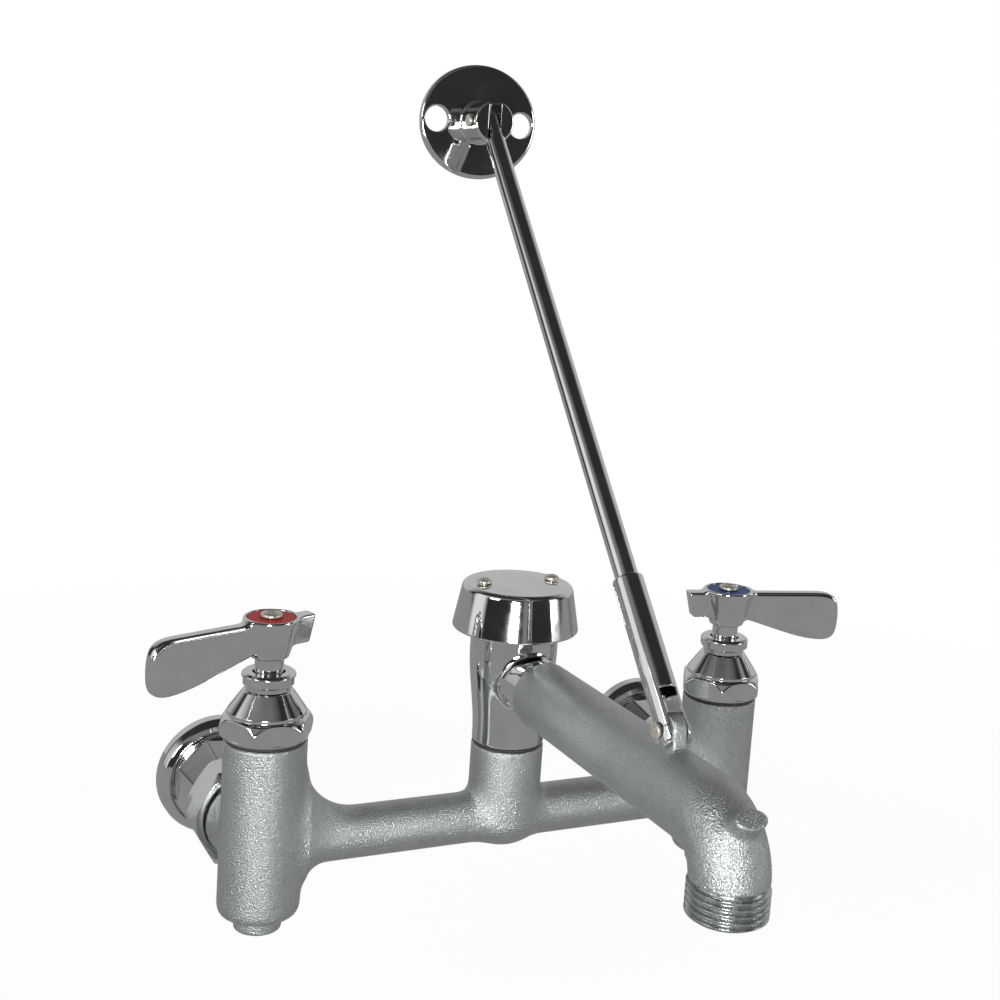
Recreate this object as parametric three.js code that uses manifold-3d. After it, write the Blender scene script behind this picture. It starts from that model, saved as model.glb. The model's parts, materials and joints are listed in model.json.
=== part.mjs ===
// Commercial wall faucet: two compression valves on a cast crossbar, a vacuum breaker with its
// canopy, a hose-thread spout with a pail hook, and a brace that ties the spout back to the wall.
//
// Millimetres, +Z up. The wall is the plane y = 0 and the faucet stands out along -Y. The origin
// is on the wall, midway between the two inlets and at their height.

import * as THREE from "three";
import { mergeVertices } from "three/addons/utils/BufferGeometryUtils.js";
import Module from "manifold-3d";

const wasm = await Module();
wasm.setup();

// ---------- Driving dimensions ----------

// How closely pieces fit, and how finely round pieces are faceted
const SEAT_GAP = 0.3; // between two pieces that touch
const RUNNING_GAP = 0.35; // each side of a piece that turns or slides in another
const WELD_DISTANCE = 1e-4; // points closer than this are one point
const CAST_FACETS = 20;
const TURNED_FACETS = 20;
const BORE_FACETS = 16;
const SMALL_FACETS = 12;

// Setting out
const INLET_SPACING = 203.2; // 8 in between the supply pipes
const WALL_TO_BODY = 74; // wall to the plane of the valve axes

// Body casting. Heights are measured from the crossbar axis.
const BAR_RADIUS = 10.2;
const BAR_BORE_RADIUS = 6.2;
const BARREL_RADIUS = 15.9;
const BARREL_TOP = 42.2;
const BARREL_DEPTH = 27.5; // below the crossbar axis
const BARREL_EDGE_RADIUS = 5;
const BARREL_BOSS_RADIUS = 9.2;
const BARREL_BOSS_DROP = 6.3;
const UPPER_SWEEP_RADIUS = 23; // crossbar up into each barrel
const LOWER_SWEEP_RADIUS = 9;
const SIDE_SWEEP = 2.2; // widening of the crossbar where it meets a barrel
const SIDE_SWEEP_LENGTH = 13;
const RISER_RADIUS = 14.8;
const RISER_TOP = 31;
const RISER_FOOT_DROP = 12; // the rounded foot of the riser hangs just below the crossbar
const RISER_SWEEP_RADIUS = 6;
const RISER_BORE_RADIUS = 10.9;
const RISER_BORE_FLOOR = 14;
const CHAMBER_RADIUS = 11.5; // valve chamber above the seat
const CHAMBER_FLOOR = 12.3;
const SUPPLY_WELL_RADIUS = 8.6; // supply chamber below the seat
const SUPPLY_WELL_DEPTH = 20;
const PASSAGE_RADIUS = 5.5; // outlet passage inside the upper sweep
const PASSAGE_TOP = 20;
const PASSAGE_BOTTOM_OFFSET = 24; // from the barrel axis to where the passage meets the bar bore
const INLET_BOSS_ROOT_RADIUS = 13.4;
const INLET_BOSS_RADIUS = 16.2;
const INLET_BOSS_END = 23.6; // from the body plane
const INLET_THREAD_RADIUS = 14.5;
const INLET_THREAD_END = 34;
const INLET_BORE_RADIUS = 7;

// Valve: bonnet, packing nut, stem and seat
const GASKET_THICKNESS = 0.8;
const BONNET_FLANGE_RADIUS = 16.1;
const BONNET_FLANGE_THICKNESS = 0.9;
const BONNET_HEX_FLATS = 32;
const BONNET_HEX_TOP = 52.4;
const BONNET_HEX_CROWN_RADIUS = 15.2;
const BONNET_HEX_FOOT_RADIUS = 17.3;
const BONNET_SHOULDER_TOP = 54;
const CONE_BASE_RADIUS = 14.9;
const CONE_TOP_RADIUS = 9.6;
const CONE_TOP = 61.8;
const BONNET_SKIRT_BOTTOM = 28;
const BONNET_THREAD_BORE_RADIUS = 8.3;
const BONNET_THREAD_BORE_TOP = 50;
const NECK_RADIUS = 7.5; // thread that carries the packing nut
const NECK_TOP = 66;
const PACKING_NUT_RADIUS = 10.3;
const PACKING_NUT_FLATS = 19.2;
const PACKING_NUT_FOOT_RADIUS = 8.7;
const PACKING_NUT_FOOT_HEIGHT = 1.9;
const PACKING_NUT_TOP = 69;
const PACKING_NUT_LIP = 1.6;
const PACKING_NUT_TURN = 14; // degrees that the nut stopped at when it was tightened
const STEM_RADIUS = 5.5;
const STEM_THREAD_RADIUS = 7.9;
const STEM_THREAD_BOTTOM = 30;
const STEM_THREAD_TOP = 40;
const STEM_TIP_RADIUS = 3.2;
const STEM_TIP_LENGTH = 2.6;
const STEM_COLLAR_RADIUS = 5;
const STEM_SPLINE_RADIUS = 4.3;
const STEM_TOP = 86;
const SEAT_RADIUS = 7.9;
const SEAT_BORE_RADIUS = 4.6;
const SEAT_FLANGE_RADIUS = 9.8;
const SEAT_FLANGE_THICKNESS = 1.8;
const SEAT_SHANK_LENGTH = 5;
const WASHER_RADIUS = 6.7;
const WASHER_THICKNESS = 3;
const WASHER_HOLDER_HEIGHT = 4;
const WASHER_SCREW_HEAD_RADIUS = 3;
const WASHER_SCREW_HEAD_HEIGHT = 1.6;
const WASHER_SCREW_RADIUS = 1.4;

// Lever handle
const HANDLE_BOTTOM = 74.6;
const HANDLE_TOP = 90.2;
const HUB_BOTTOM_RADIUS = 7.2;
const HUB_TOP_RADIUS = 10.6;
const HUB_RIM_RADIUS = 9.4; // inside of the rim that holds the index disc
const INDEX_RECESS = 1.7;
const INDEX_THICKNESS = 1.1;
const BLADE_LENGTH = 52; // valve axis to blade tip
const BLADE_THICKNESS = 5.6;
const BLADE_TOP = 89;
const BLADE_ROOT_BOTTOM = 77.2;
const BLADE_TIP_BOTTOM = 67.2;
const BLADE_TIP_UPPER_RADIUS = 8;
const BLADE_TIP_LOWER_RADIUS = 10;
const BLADE_ROOT_FILLET = 3.4;
const STUB_LENGTH = 18.8; // valve axis to the end of the short stub
const STUB_THICKNESS = 6.6;
const STUB_BOTTOM = 78;
const STUB_END_SLANT = 2.6;
const HOT_HANDLE_TURN = 20; // degrees forward of the wall-parallel direction
const COLD_HANDLE_TURN = 12;
const HANDLE_SCREW_HEAD_RADIUS = 4.2;
const HANDLE_SCREW_HEAD_HEIGHT = 2.1;
const HANDLE_SCREW_RADIUS = 1.9;
const HANDLE_SCREW_LENGTH = 12;

// Inlets. Distances are measured from the body plane towards the wall.
const NUT_START = 24;
const NUT_END = 42;
const NUT_FLATS = 38;
const NUT_FACE_RADIUS = 19.6;
const NUT_CHAMFER = 2.6;
const NUT_LIP = 2.2;
const COLLAR_RADIUS = 13.6;
const COLLAR_THICKNESS = 3;
const COUPLING_WASHER_THICKNESS = 1.7;
const TAILPIECE_RADIUS = 11;
const HUB_START = 42.6;
const HUB_NOSE_RADIUS = 16.6; // across the corners of the eight wrench flats
const HUB_ROOT_RADIUS = 20.6;
const HUB_END = 62;
const ESCUTCHEON_RADIUS = 25.4;
const ESCUTCHEON_FACE_RADIUS = 21.8;
const ESCUTCHEON_THICKNESS = 9.5;
const ESCUTCHEON_EDGE = 1.6;
const ESCUTCHEON_RIM_WIDTH = 1.4;
const ESCUTCHEON_DISH = 2.4;
const PIPE_SOCKET_RADIUS = 10.2; // half-inch pipe thread
const PIPE_SOCKET_DEPTH = 15;
const TAILPIECE_BORE_RADIUS = 6.6;

// Vacuum breaker. Heights are measured from the crossbar axis.
const BREAKER_FOOT_RADIUS = 14.7;
const BREAKER_SHOULDER_RADIUS = 17.8;
const BREAKER_SHOULDER_HEIGHT = 66;
const BREAKER_TOP = 86;
const BREAKER_NIPPLE_LENGTH = 14;
const BREAKER_SUPPLY_RADIUS = 7.4;
const BREAKER_CHAMBER_RADIUS = 13.4;
const BREAKER_SEAT_HEIGHT = 44;
const BREAKER_SEAL_THICKNESS = 0.8;
const SPOUT_NECK_RADIUS = 11.6;
const SPOUT_NECK_LENGTH = 29; // breaker axis to the end of the polished neck
const SPOUT_NIPPLE_LENGTH = 12;
const SPOUT_NIPPLE_WALL = 1.8;
const FLOAT_RADIUS = 11.4;
const FLOAT_THICKNESS = 2.6;
const FLOAT_SEAL_RADIUS = 10;
const FLOAT_SEAL_THICKNESS = 1.5;
const FLOAT_GUIDE_RADIUS = 2.2;
const FLOAT_GUIDE_TOP = 84;
const FLOAT_TRAVEL = 2.7;
const VENT_DISC_RADIUS = 11;
const VENT_DISC_THICKNESS = 2;
const VENT_CAP_THREAD_DEPTH = 6;
const VENT_CAP_FLANGE_THICKNESS = 4;
const VENT_PORT_RADIUS = 2.1;
const VENT_PORT_CIRCLE_RADIUS = 8.2;
const VENT_PORT_COUNT = 6;
const CANOPY_RIM_RADIUS = 25.8;
const CANOPY_RIM_HEIGHT = 79.5;
const CANOPY_EDGE_RADIUS = 22.4;
const CANOPY_EDGE_HEIGHT = 95.6;
const CANOPY_EDGE_ROUND = 2.2;
const CANOPY_CROWN = 1; // rise of the domed top
const CANOPY_WALL = 1.8;
const CANOPY_BOSS_RADIUS = 3.8;
const CANOPY_SCREW_OFFSET = 15;
const CANOPY_SCREW_RADIUS = 1.7;
const CANOPY_SCREW_HEAD_RADIUS = 3;
const CANOPY_SCREW_HEAD_HEIGHT = 2;
const CANOPY_SCREW_LENGTH = 8;

// Spout. Reaches are measured from the breaker axis, out from the wall.
const SPOUT_AXIS_HEIGHT = 59.8; // where the spout axis leaves the breaker axis
const SPOUT_RISE = 1.5; // degrees
const SPOUT_RADIUS = 13.1;
const SPOUT_BORE_RADIUS = 9.5;
const SPOUT_REACH = 168;
const ELBOW_RADIUS = 16;
const HOSE_THREAD_RADIUS = 13.5; // three-quarter-inch garden hose thread
const HOSE_THREAD_DEPTH = 1;
const HOSE_THREAD_PITCH = 2.2;
const HOSE_THREAD_TURNS = 5;
const HOSE_THREAD_LEAD_IN = 0.7;
const LUG_REACH = 127.3;
const LUG_PIN_RISE = 19.1; // above the spout axis
const LUG_THICKNESS = 5.3;
const LUG_RADIUS = 5.4;
const LUG_FOOT_LENGTH = 17;
const HOOK_LENGTH = 19; // from the spout axis at the elbow to the end of the hook
const HOOK_WIDTH = 11.6;
const HOOK_HEIGHT = 7.2;
const HOOK_FOOT_FLARE = 1.35;
const HOOK_TILT = 46; // degrees above level

// Brace
const BRACE_PIN_HEIGHT = 283; // wall pin above the inlets
const BRACE_PIN_STANDOFF = 14; // wall pin out from the wall
const BRACE_PIN_RADIUS = 2;
const BRACE_PIN_HEAD_RADIUS = 2.8;
const BRACE_PIN_HEAD_THICKNESS = 1.2;
const SLEEVE_RADIUS = 5.65;
const SLEEVE_LENGTH = 56; // lug pin to the upper end
const SLEEVE_SLOT_DEPTH = 13;
const SLEEVE_EDGE = 0.7;
const ROD_RADIUS = 4.3;
const ROD_START = 26; // lug pin to the lower end of the rod
const ROD_TONGUE_THICKNESS = 4.6;
const ROD_TONGUE_LENGTH = 10.5;
const FLANGE_WIDTH = 53.4;
const FLANGE_HEIGHT = 48.6;
const FLANGE_THICKNESS = 3;
const FLANGE_RIM_ROUND = 1.2;
const FLANGE_HOLE_RADIUS = 5.4;
const FLANGE_HOLE_OFFSET = 19.5;
const FLANGE_HUB_RADIUS = 8.8;
const FLANGE_HUB_LENGTH = 20;
const FLANGE_HUB_EDGE = 0.7;
const FLANGE_SLOT_FLOOR = 8;

// ---------- Sizes that follow ----------

const GASKET_BOTTOM = BARREL_TOP + SEAT_GAP;
const BONNET_BOTTOM = GASKET_BOTTOM + GASKET_THICKNESS + SEAT_GAP;
const BONNET_HEX_BOTTOM = BONNET_BOTTOM + BONNET_FLANGE_THICKNESS;
const BONNET_HEX_CORNERS = BONNET_HEX_FLATS / Math.cos(Math.PI / 6);
const STEM_BORE_RADIUS = STEM_RADIUS + RUNNING_GAP;
const SEAT_TOP = CHAMBER_FLOOR + SEAT_GAP + SEAT_FLANGE_THICKNESS;
const WASHER_BOTTOM = SEAT_TOP + SEAT_GAP;
const HOLDER_BOTTOM = WASHER_BOTTOM + WASHER_THICKNESS + SEAT_GAP;
const HOLDER_TOP = HOLDER_BOTTOM + WASHER_HOLDER_HEIGHT;
const STEM_BOTTOM = HOLDER_TOP + SEAT_GAP - STEM_TIP_LENGTH;
const PACKING_NUT_BOTTOM = CONE_TOP + SEAT_GAP;
const PACKING_NUT_ROOF = PACKING_NUT_TOP - PACKING_NUT_LIP;
const INDEX_BOTTOM = HANDLE_TOP - INDEX_RECESS + SEAT_GAP;
const INDEX_TOP = INDEX_BOTTOM + INDEX_THICKNESS;
const COUPLING_WASHER_START = INLET_THREAD_END + SEAT_GAP;
const COLLAR_START = COUPLING_WASHER_START + COUPLING_WASHER_THICKNESS + SEAT_GAP;
const COLLAR_END = COLLAR_START + COLLAR_THICKNESS;
const BREAKER_SEAL_BOTTOM = RISER_TOP + SEAT_GAP;
const BREAKER_BOTTOM = BREAKER_SEAL_BOTTOM + BREAKER_SEAL_THICKNESS + SEAT_GAP;
const FLOAT_BOTTOM = BREAKER_SEAT_HEIGHT + SEAT_GAP;
const FLOAT_DISC_BOTTOM = FLOAT_BOTTOM + FLOAT_SEAL_THICKNESS + SEAT_GAP;
const VENT_CAP_BOTTOM = BREAKER_TOP - VENT_CAP_THREAD_DEPTH;
const VENT_CAP_FLANGE_BOTTOM = BREAKER_TOP + SEAT_GAP;
const VENT_CAP_TOP = VENT_CAP_FLANGE_BOTTOM + VENT_CAP_FLANGE_THICKNESS;
const CANOPY_TOP = CANOPY_EDGE_HEIGHT + CANOPY_EDGE_ROUND + CANOPY_CROWN;
const RISE_ANGLE = THREE.MathUtils.degToRad(SPOUT_RISE);
const LUG_PIN_HEIGHT = SPOUT_AXIS_HEIGHT + LUG_REACH * Math.tan(RISE_ANGLE) + LUG_PIN_RISE;
const BRACE_SPAN_OUT = WALL_TO_BODY + LUG_REACH - BRACE_PIN_STANDOFF;
const BRACE_SPAN_UP = BRACE_PIN_HEIGHT - LUG_PIN_HEIGHT;
const BRACE_LENGTH = Math.hypot(BRACE_SPAN_OUT, BRACE_SPAN_UP);
const BRACE_LEAN = Math.atan2(BRACE_SPAN_OUT, BRACE_SPAN_UP); // from upright, back to the wall

// ---------- Finishes ----------

const roughChrome = new THREE.MeshStandardMaterial({ color: 0x8f9694, roughness: 0.55, metalness: 0.9 });
const chrome = new THREE.MeshStandardMaterial({ color: 0xc9ccce, roughness: 0.08, metalness: 1 });
const steel = new THREE.MeshStandardMaterial({ color: 0xb9b6b0, roughness: 0.25, metalness: 1 });
const brass = new THREE.MeshStandardMaterial({ color: 0xb8913f, roughness: 0.35, metalness: 1 });
const rubber = new THREE.MeshStandardMaterial({ color: 0x1a1a1a, roughness: 0.8, metalness: 0 });
const fibre = new THREE.MeshStandardMaterial({ color: 0x6d6455, roughness: 0.9, metalness: 0 });
const indexRed = new THREE.MeshStandardMaterial({ color: 0xa51512, roughness: 0.35, metalness: 0.2 });
const indexBlue = new THREE.MeshStandardMaterial({ color: 0x10407e, roughness: 0.35, metalness: 0.2 });

// ---------- Shaping ----------

/** Volume with a sign: negative when the faces point inwards. */
function signedVolume(points, faces) {
  const corner = [new THREE.Vector3(), new THREE.Vector3(), new THREE.Vector3()];
  let total = 0;
  for (let face = 0; face < faces.length; face += 3) {
    corner.forEach((vertex, side) => vertex.fromArray(points, 3 * faces[face + side]));
    total += corner[0].dot(corner[1].clone().cross(corner[2])) / 6;
  }
  return total;
}

/** Points and faces of a closed shape, with shared points merged and its faces pointing out. */
function closedSurface(geometry) {
  const bare = geometry.clone();
  bare.deleteAttribute("normal");
  bare.deleteAttribute("uv");
  const welded = mergeVertices(bare, WELD_DISTANCE);
  const points = Float32Array.from(welded.attributes.position.array);
  const faces = [];
  for (let face = 0; face < welded.index.count; face += 3) {
    const [a, b, c] = [0, 1, 2].map((side) => welded.index.getX(face + side));
    if (a !== b && b !== c && c !== a) {
      faces.push(a, b, c);
    }
  }
  if (signedVolume(points, faces) < 0) {
    faces.reverse();
  }
  return { points, faces };
}

function toManifold(geometry) {
  const { points, faces } = closedSurface(geometry);
  const surface = { numProp: 3, vertProperties: points, triVerts: Uint32Array.from(faces) };
  return new wasm.Manifold(new wasm.Mesh(surface));
}

function toGeometry(manifold) {
  const surface = manifold.getMesh();
  const geometry = new THREE.BufferGeometry();
  geometry.setAttribute("position", new THREE.BufferAttribute(surface.vertProperties, 3));
  geometry.setIndex(new THREE.BufferAttribute(surface.triVerts, 1));
  geometry.computeVertexNormals();
  return geometry;
}

function join(...geometries) {
  const [first, ...others] = geometries.map(toManifold);
  return toGeometry(others.reduce((whole, piece) => whole.add(piece), first));
}

function cut(geometry, ...tools) {
  return toGeometry(tools.reduce((left, tool) => left.subtract(toManifold(tool)), toManifold(geometry)));
}

function overlapOf(first, second) {
  return toGeometry(toManifold(first).intersect(toManifold(second)));
}

/** A piece turned on a lathe about Z, from its half profile of [radius, height] points. */
function turned(profile, facets = TURNED_FACETS) {
  const outline = profile.map(([radius, height]) => new THREE.Vector2(radius, height));
  return new THREE.LatheGeometry(outline, facets).rotateX(Math.PI / 2);
}

/** A plain round bar or bore about Z. */
function round(radius, bottom, top, facets = TURNED_FACETS) {
  return turned([[0, bottom], [radius, bottom], [radius, top], [0, top]], facets);
}

/** A washer or tube about Z. */
function ring(inner, outer, bottom, top, facets = SMALL_FACETS) {
  return turned([[inner, bottom], [outer, bottom], [outer, top], [inner, top], [inner, bottom]], facets);
}

/** A flat outline in X and Y raised from one height to another. */
function raised(shape, bottom, top, curveSegments = 6) {
  const options = { depth: top - bottom, bevelEnabled: false, curveSegments };
  return new THREE.ExtrudeGeometry(shape, options).translate(0, 0, bottom);
}

/** A flat outline in X (across) and Z (up), centred in Y and given a thickness. */
function plate(shape, thickness, curveSegments = 6) {
  return raised(shape, -thickness / 2, thickness / 2, curveSegments).rotateX(Math.PI / 2);
}

/** A regular polygon outline, its first flat facing -Y. */
function polygon(sides, acrossFlats) {
  const corner = acrossFlats / 2 / Math.cos(Math.PI / sides);
  const shape = new THREE.Shape();
  for (let side = 0; side < sides; side += 1) {
    const angle = -Math.PI / 2 + ((side + 0.5) * 2 * Math.PI) / sides;
    const place = [corner * Math.cos(angle), corner * Math.sin(angle)];
    if (side === 0) {
      shape.moveTo(...place);
    } else {
      shape.lineTo(...place);
    }
  }
  shape.closePath();
  return shape;
}

/** A closed skin over a row of rings that have the same number of points each. */
function loft(rings) {
  const count = rings[0].length;
  const faces = [];
  for (let row = 0; row + 1 < rings.length; row += 1) {
    for (let side = 0; side < count; side += 1) {
      const here = row * count + side;
      const next = row * count + ((side + 1) % count);
      faces.push(here, next, next + count, here, next + count, here + count);
    }
  }
  const last = (rings.length - 1) * count;
  for (let side = 1; side + 1 < count; side += 1) {
    faces.push(0, side + 1, side, last, last + side, last + side + 1);
  }
  const geometry = new THREE.BufferGeometry().setFromPoints(rings.flat());
  geometry.setIndex(faces);
  return geometry;
}

/** How far a fillet stands off one wall at a distance from the other wall. */
function filletRise(distance, radius) {
  const inside = THREE.MathUtils.clamp(radius - distance, 0, radius);
  return radius - Math.sqrt(radius * radius - inside * inside);
}

/** Angles round a full turn. */
function turnAngles(count) {
  return Array.from({ length: count }, (_, step) => (step * 2 * Math.PI) / count);
}

/** Even stations from one value to another. */
function stations(from, to, count) {
  return Array.from({ length: count + 1 }, (_, step) => from + ((to - from) * step) / count);
}

// ---------- Body casting ----------

/** Half profile of one valve barrel, with its rounded bottom edge and the cast boss below. */
function barrelProfile() {
  const edge = new THREE.Path();
  edge.absarc(
    BARREL_RADIUS - BARREL_EDGE_RADIUS, -BARREL_DEPTH + BARREL_EDGE_RADIUS, BARREL_EDGE_RADIUS,
    -Math.PI / 2, 0, false,
  );
  const bossBottom = -BARREL_DEPTH - BARREL_BOSS_DROP;
  return [
    [0, bossBottom],
    [BARREL_BOSS_RADIUS, bossBottom],
    [BARREL_BOSS_RADIUS, -BARREL_DEPTH],
    ...edge.getPoints(3).map((point) => [point.x, point.y]),
    [BARREL_RADIUS, BARREL_TOP],
    [0, BARREL_TOP],
  ];
}

/** Section of the crossbar at a distance from the side of the nearer barrel. */
function barSection(across, distance) {
  const up = BAR_RADIUS + filletRise(distance, UPPER_SWEEP_RADIUS);
  const down = BAR_RADIUS + filletRise(distance, LOWER_SWEEP_RADIUS);
  const nearness = THREE.MathUtils.clamp(1 - distance / SIDE_SWEEP_LENGTH, 0, 1);
  const side = BAR_RADIUS + SIDE_SWEEP * nearness * nearness;
  return turnAngles(CAST_FACETS).map((angle) => {
    const height = Math.sin(angle) * (Math.sin(angle) > 0 ? up : down);
    return new THREE.Vector3(across, side * Math.cos(angle), height);
  });
}

/** The crossbar, swept up into the barrel at each end. */
function crossbar() {
  const barrelSide = INLET_SPACING / 2 - BARREL_RADIUS;
  const sweep = [...stations(0, UPPER_SWEEP_RADIUS * 0.4, 4), UPPER_SWEEP_RADIUS * 0.65, UPPER_SWEEP_RADIUS];
  const end = [[barrelSide + BARREL_RADIUS / 2, 0], ...sweep.map((distance) => [barrelSide - distance, distance])];
  const mirrored = end.map(([across, distance]) => [-across, distance]).reverse();
  return loft([...end, ...mirrored].map(([across, distance]) => barSection(across, distance)));
}

/** The riser: a round post with a rounded foot, swept outwards where it meets the crossbar. */
function riser() {
  const sections = turnAngles(16).slice(0, 4).map((angle) => {
    const share = Math.cos(angle);
    return { height: -RISER_FOOT_DROP * share, along: RISER_RADIUS * Math.sqrt(1 - share * share) };
  });
  sections[0].along = RISER_RADIUS / 8;
  sections.push({ height: 0, along: RISER_RADIUS });
  for (const rise of stations(0, RISER_SWEEP_RADIUS, 4)) {
    sections.push({ height: BAR_RADIUS + rise, along: RISER_RADIUS + filletRise(rise, RISER_SWEEP_RADIUS) });
  }
  sections.push({ height: RISER_TOP, along: RISER_RADIUS });
  return loft(sections.map(({ height, along }) => turnAngles(CAST_FACETS).map((angle) => {
    const across = Math.min(along, RISER_RADIUS) * Math.sin(angle);
    return new THREE.Vector3(along * Math.cos(angle), across, height);
  })));
}

/** A barrel and the inlet boss at its back. */
function castSide(side) {
  const barrel = turned(barrelProfile(), CAST_FACETS);
  const boss = turned([
    [0, 0],
    [INLET_BOSS_ROOT_RADIUS, 0],
    [INLET_BOSS_ROOT_RADIUS, BARREL_RADIUS / 2],
    [INLET_BOSS_RADIUS, INLET_BOSS_END],
    [INLET_THREAD_RADIUS, INLET_BOSS_END],
    [INLET_THREAD_RADIUS, INLET_THREAD_END],
    [0, INLET_THREAD_END],
  ]).rotateX(-Math.PI / 2);
  return join(barrel, boss).translate((side * INLET_SPACING) / 2, 0, 0);
}

/** The waterway on one side: supply, seat, valve chamber, and the passage down to the crossbar. */
function waterways(side) {
  const seatBore = SEAT_RADIUS + SEAT_GAP;
  const seatFlangeBore = SEAT_FLANGE_RADIUS + SEAT_GAP;
  const wells = turned([
    [0, -SUPPLY_WELL_DEPTH],
    [SUPPLY_WELL_RADIUS, -SUPPLY_WELL_DEPTH],
    [SUPPLY_WELL_RADIUS, SEAT_TOP - SEAT_FLANGE_THICKNESS - SEAT_SHANK_LENGTH - SEAT_GAP],
    [seatBore, SEAT_TOP - SEAT_FLANGE_THICKNESS - SEAT_SHANK_LENGTH - SEAT_GAP],
    [seatBore, CHAMBER_FLOOR],
    [seatFlangeBore, CHAMBER_FLOOR],
    [CHAMBER_RADIUS, CHAMBER_FLOOR + CHAMBER_RADIUS - seatFlangeBore],
    [CHAMBER_RADIUS, BARREL_TOP + 1],
    [0, BARREL_TOP + 1],
  ], BORE_FACETS);
  const supply = round(INLET_BORE_RADIUS, 0, INLET_THREAD_END + 1, SMALL_FACETS).rotateX(-Math.PI / 2);
  const fall = new THREE.Vector3(-side * PASSAGE_BOTTOM_OFFSET, 0, 0);
  const start = new THREE.Vector3(-side * CHAMBER_RADIUS / 2, 0, PASSAGE_TOP);
  const along = fall.clone().sub(start);
  const passage = round(PASSAGE_RADIUS, 0, along.length(), SMALL_FACETS);
  const aim = new THREE.Quaternion();
  aim.setFromUnitVectors(new THREE.Vector3(0, 0, 1), along.clone().normalize());
  passage.applyQuaternion(aim).translate(start.x, start.y, start.z);
  return join(wells, supply, passage).translate((side * INLET_SPACING) / 2, 0, 0);
}

function faucetBody() {
  const halfBore = INLET_SPACING / 2 - PASSAGE_BOTTOM_OFFSET + PASSAGE_RADIUS / 2;
  const casting = join(crossbar(), castSide(-1), castSide(1), riser());
  const barBore = round(BAR_BORE_RADIUS, -halfBore, halfBore, SMALL_FACETS).rotateY(Math.PI / 2);
  const riserBore = join(
    round(BAR_BORE_RADIUS, 0, RISER_TOP, SMALL_FACETS),
    round(RISER_BORE_RADIUS, RISER_BORE_FLOOR, RISER_TOP + 1, BORE_FACETS),
  );
  return cut(casting, waterways(-1), waterways(1), barBore, riserBore);
}

// ---------- Valve ----------

function bonnetGasket() {
  const top = GASKET_BOTTOM + GASKET_THICKNESS;
  return ring(CHAMBER_RADIUS, BARREL_RADIUS - SEAT_GAP, GASKET_BOTTOM, top, BORE_FACETS);
}

/** Bonnet: threaded skirt, flange, domed hexagon, polished cone and the packing-nut thread. */
function bonnet() {
  const core = turned([
    [0, BONNET_SKIRT_BOTTOM],
    [CHAMBER_RADIUS - SEAT_GAP, BONNET_SKIRT_BOTTOM],
    [CHAMBER_RADIUS - SEAT_GAP, BONNET_BOTTOM],
    [BONNET_FLANGE_RADIUS, BONNET_BOTTOM],
    [BONNET_FLANGE_RADIUS, BONNET_HEX_BOTTOM],
    [BONNET_HEX_CROWN_RADIUS, BONNET_HEX_BOTTOM],
    [BONNET_HEX_CROWN_RADIUS, BONNET_HEX_TOP],
    [CONE_BASE_RADIUS, BONNET_SHOULDER_TOP],
    [CONE_TOP_RADIUS, CONE_TOP],
    [NECK_RADIUS, CONE_TOP],
    [NECK_RADIUS, NECK_TOP],
    [0, NECK_TOP],
  ]);
  const crown = BONNET_HEX_TOP - BONNET_HEX_BOTTOM;
  const dome = turned([
    [0, BONNET_HEX_BOTTOM],
    [BONNET_HEX_FOOT_RADIUS, BONNET_HEX_BOTTOM],
    [BONNET_HEX_CORNERS / 2, BONNET_HEX_BOTTOM + crown * 0.25],
    [BONNET_HEX_CORNERS / 2, BONNET_HEX_BOTTOM + crown * 0.55],
    [BONNET_HEX_FOOT_RADIUS, BONNET_HEX_BOTTOM + crown * 0.8],
    [BONNET_HEX_CROWN_RADIUS, BONNET_HEX_TOP],
    [0, BONNET_HEX_TOP],
  ]);
  const hexagon = overlapOf(raised(polygon(6, BONNET_HEX_FLATS), BONNET_HEX_BOTTOM, BONNET_HEX_TOP), dome);
  const bore = turned([
    [0, BONNET_SKIRT_BOTTOM - 1],
    [BONNET_THREAD_BORE_RADIUS, BONNET_SKIRT_BOTTOM - 1],
    [BONNET_THREAD_BORE_RADIUS, BONNET_THREAD_BORE_TOP],
    [STEM_BORE_RADIUS, BONNET_THREAD_BORE_TOP + BONNET_THREAD_BORE_RADIUS - STEM_BORE_RADIUS],
    [STEM_BORE_RADIUS, NECK_TOP + 1],
    [0, NECK_TOP + 1],
  ], BORE_FACETS);
  return cut(join(core, hexagon), bore);
}

function packingRing() {
  const top = PACKING_NUT_ROOF - SEAT_GAP;
  return ring(STEM_BORE_RADIUS, NECK_RADIUS, NECK_TOP + SEAT_GAP, top);
}

/** Packing nut: a round collar over six wrench flats and a plain foot. */
function packingNut() {
  const flatsBottom = PACKING_NUT_BOTTOM + PACKING_NUT_FOOT_HEIGHT;
  const collar = turned([
    [0, flatsBottom],
    [PACKING_NUT_FOOT_RADIUS, flatsBottom],
    [PACKING_NUT_RADIUS, flatsBottom + 1],
    [PACKING_NUT_RADIUS, PACKING_NUT_TOP - 1],
    [PACKING_NUT_RADIUS - 1, PACKING_NUT_TOP],
    [0, PACKING_NUT_TOP],
  ]);
  const flats = overlapOf(collar, raised(polygon(6, PACKING_NUT_FLATS), flatsBottom, PACKING_NUT_TOP));
  const foot = round(PACKING_NUT_FOOT_RADIUS, PACKING_NUT_BOTTOM, flatsBottom + SEAT_GAP);
  const bore = turned([
    [0, PACKING_NUT_BOTTOM - 1],
    [NECK_RADIUS + SEAT_GAP, PACKING_NUT_BOTTOM - 1],
    [NECK_RADIUS + SEAT_GAP, PACKING_NUT_ROOF],
    [STEM_BORE_RADIUS, PACKING_NUT_ROOF],
    [STEM_BORE_RADIUS, PACKING_NUT_TOP + 1],
    [0, PACKING_NUT_TOP + 1],
  ], BORE_FACETS);
  return cut(join(flats, foot), bore);
}

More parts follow.
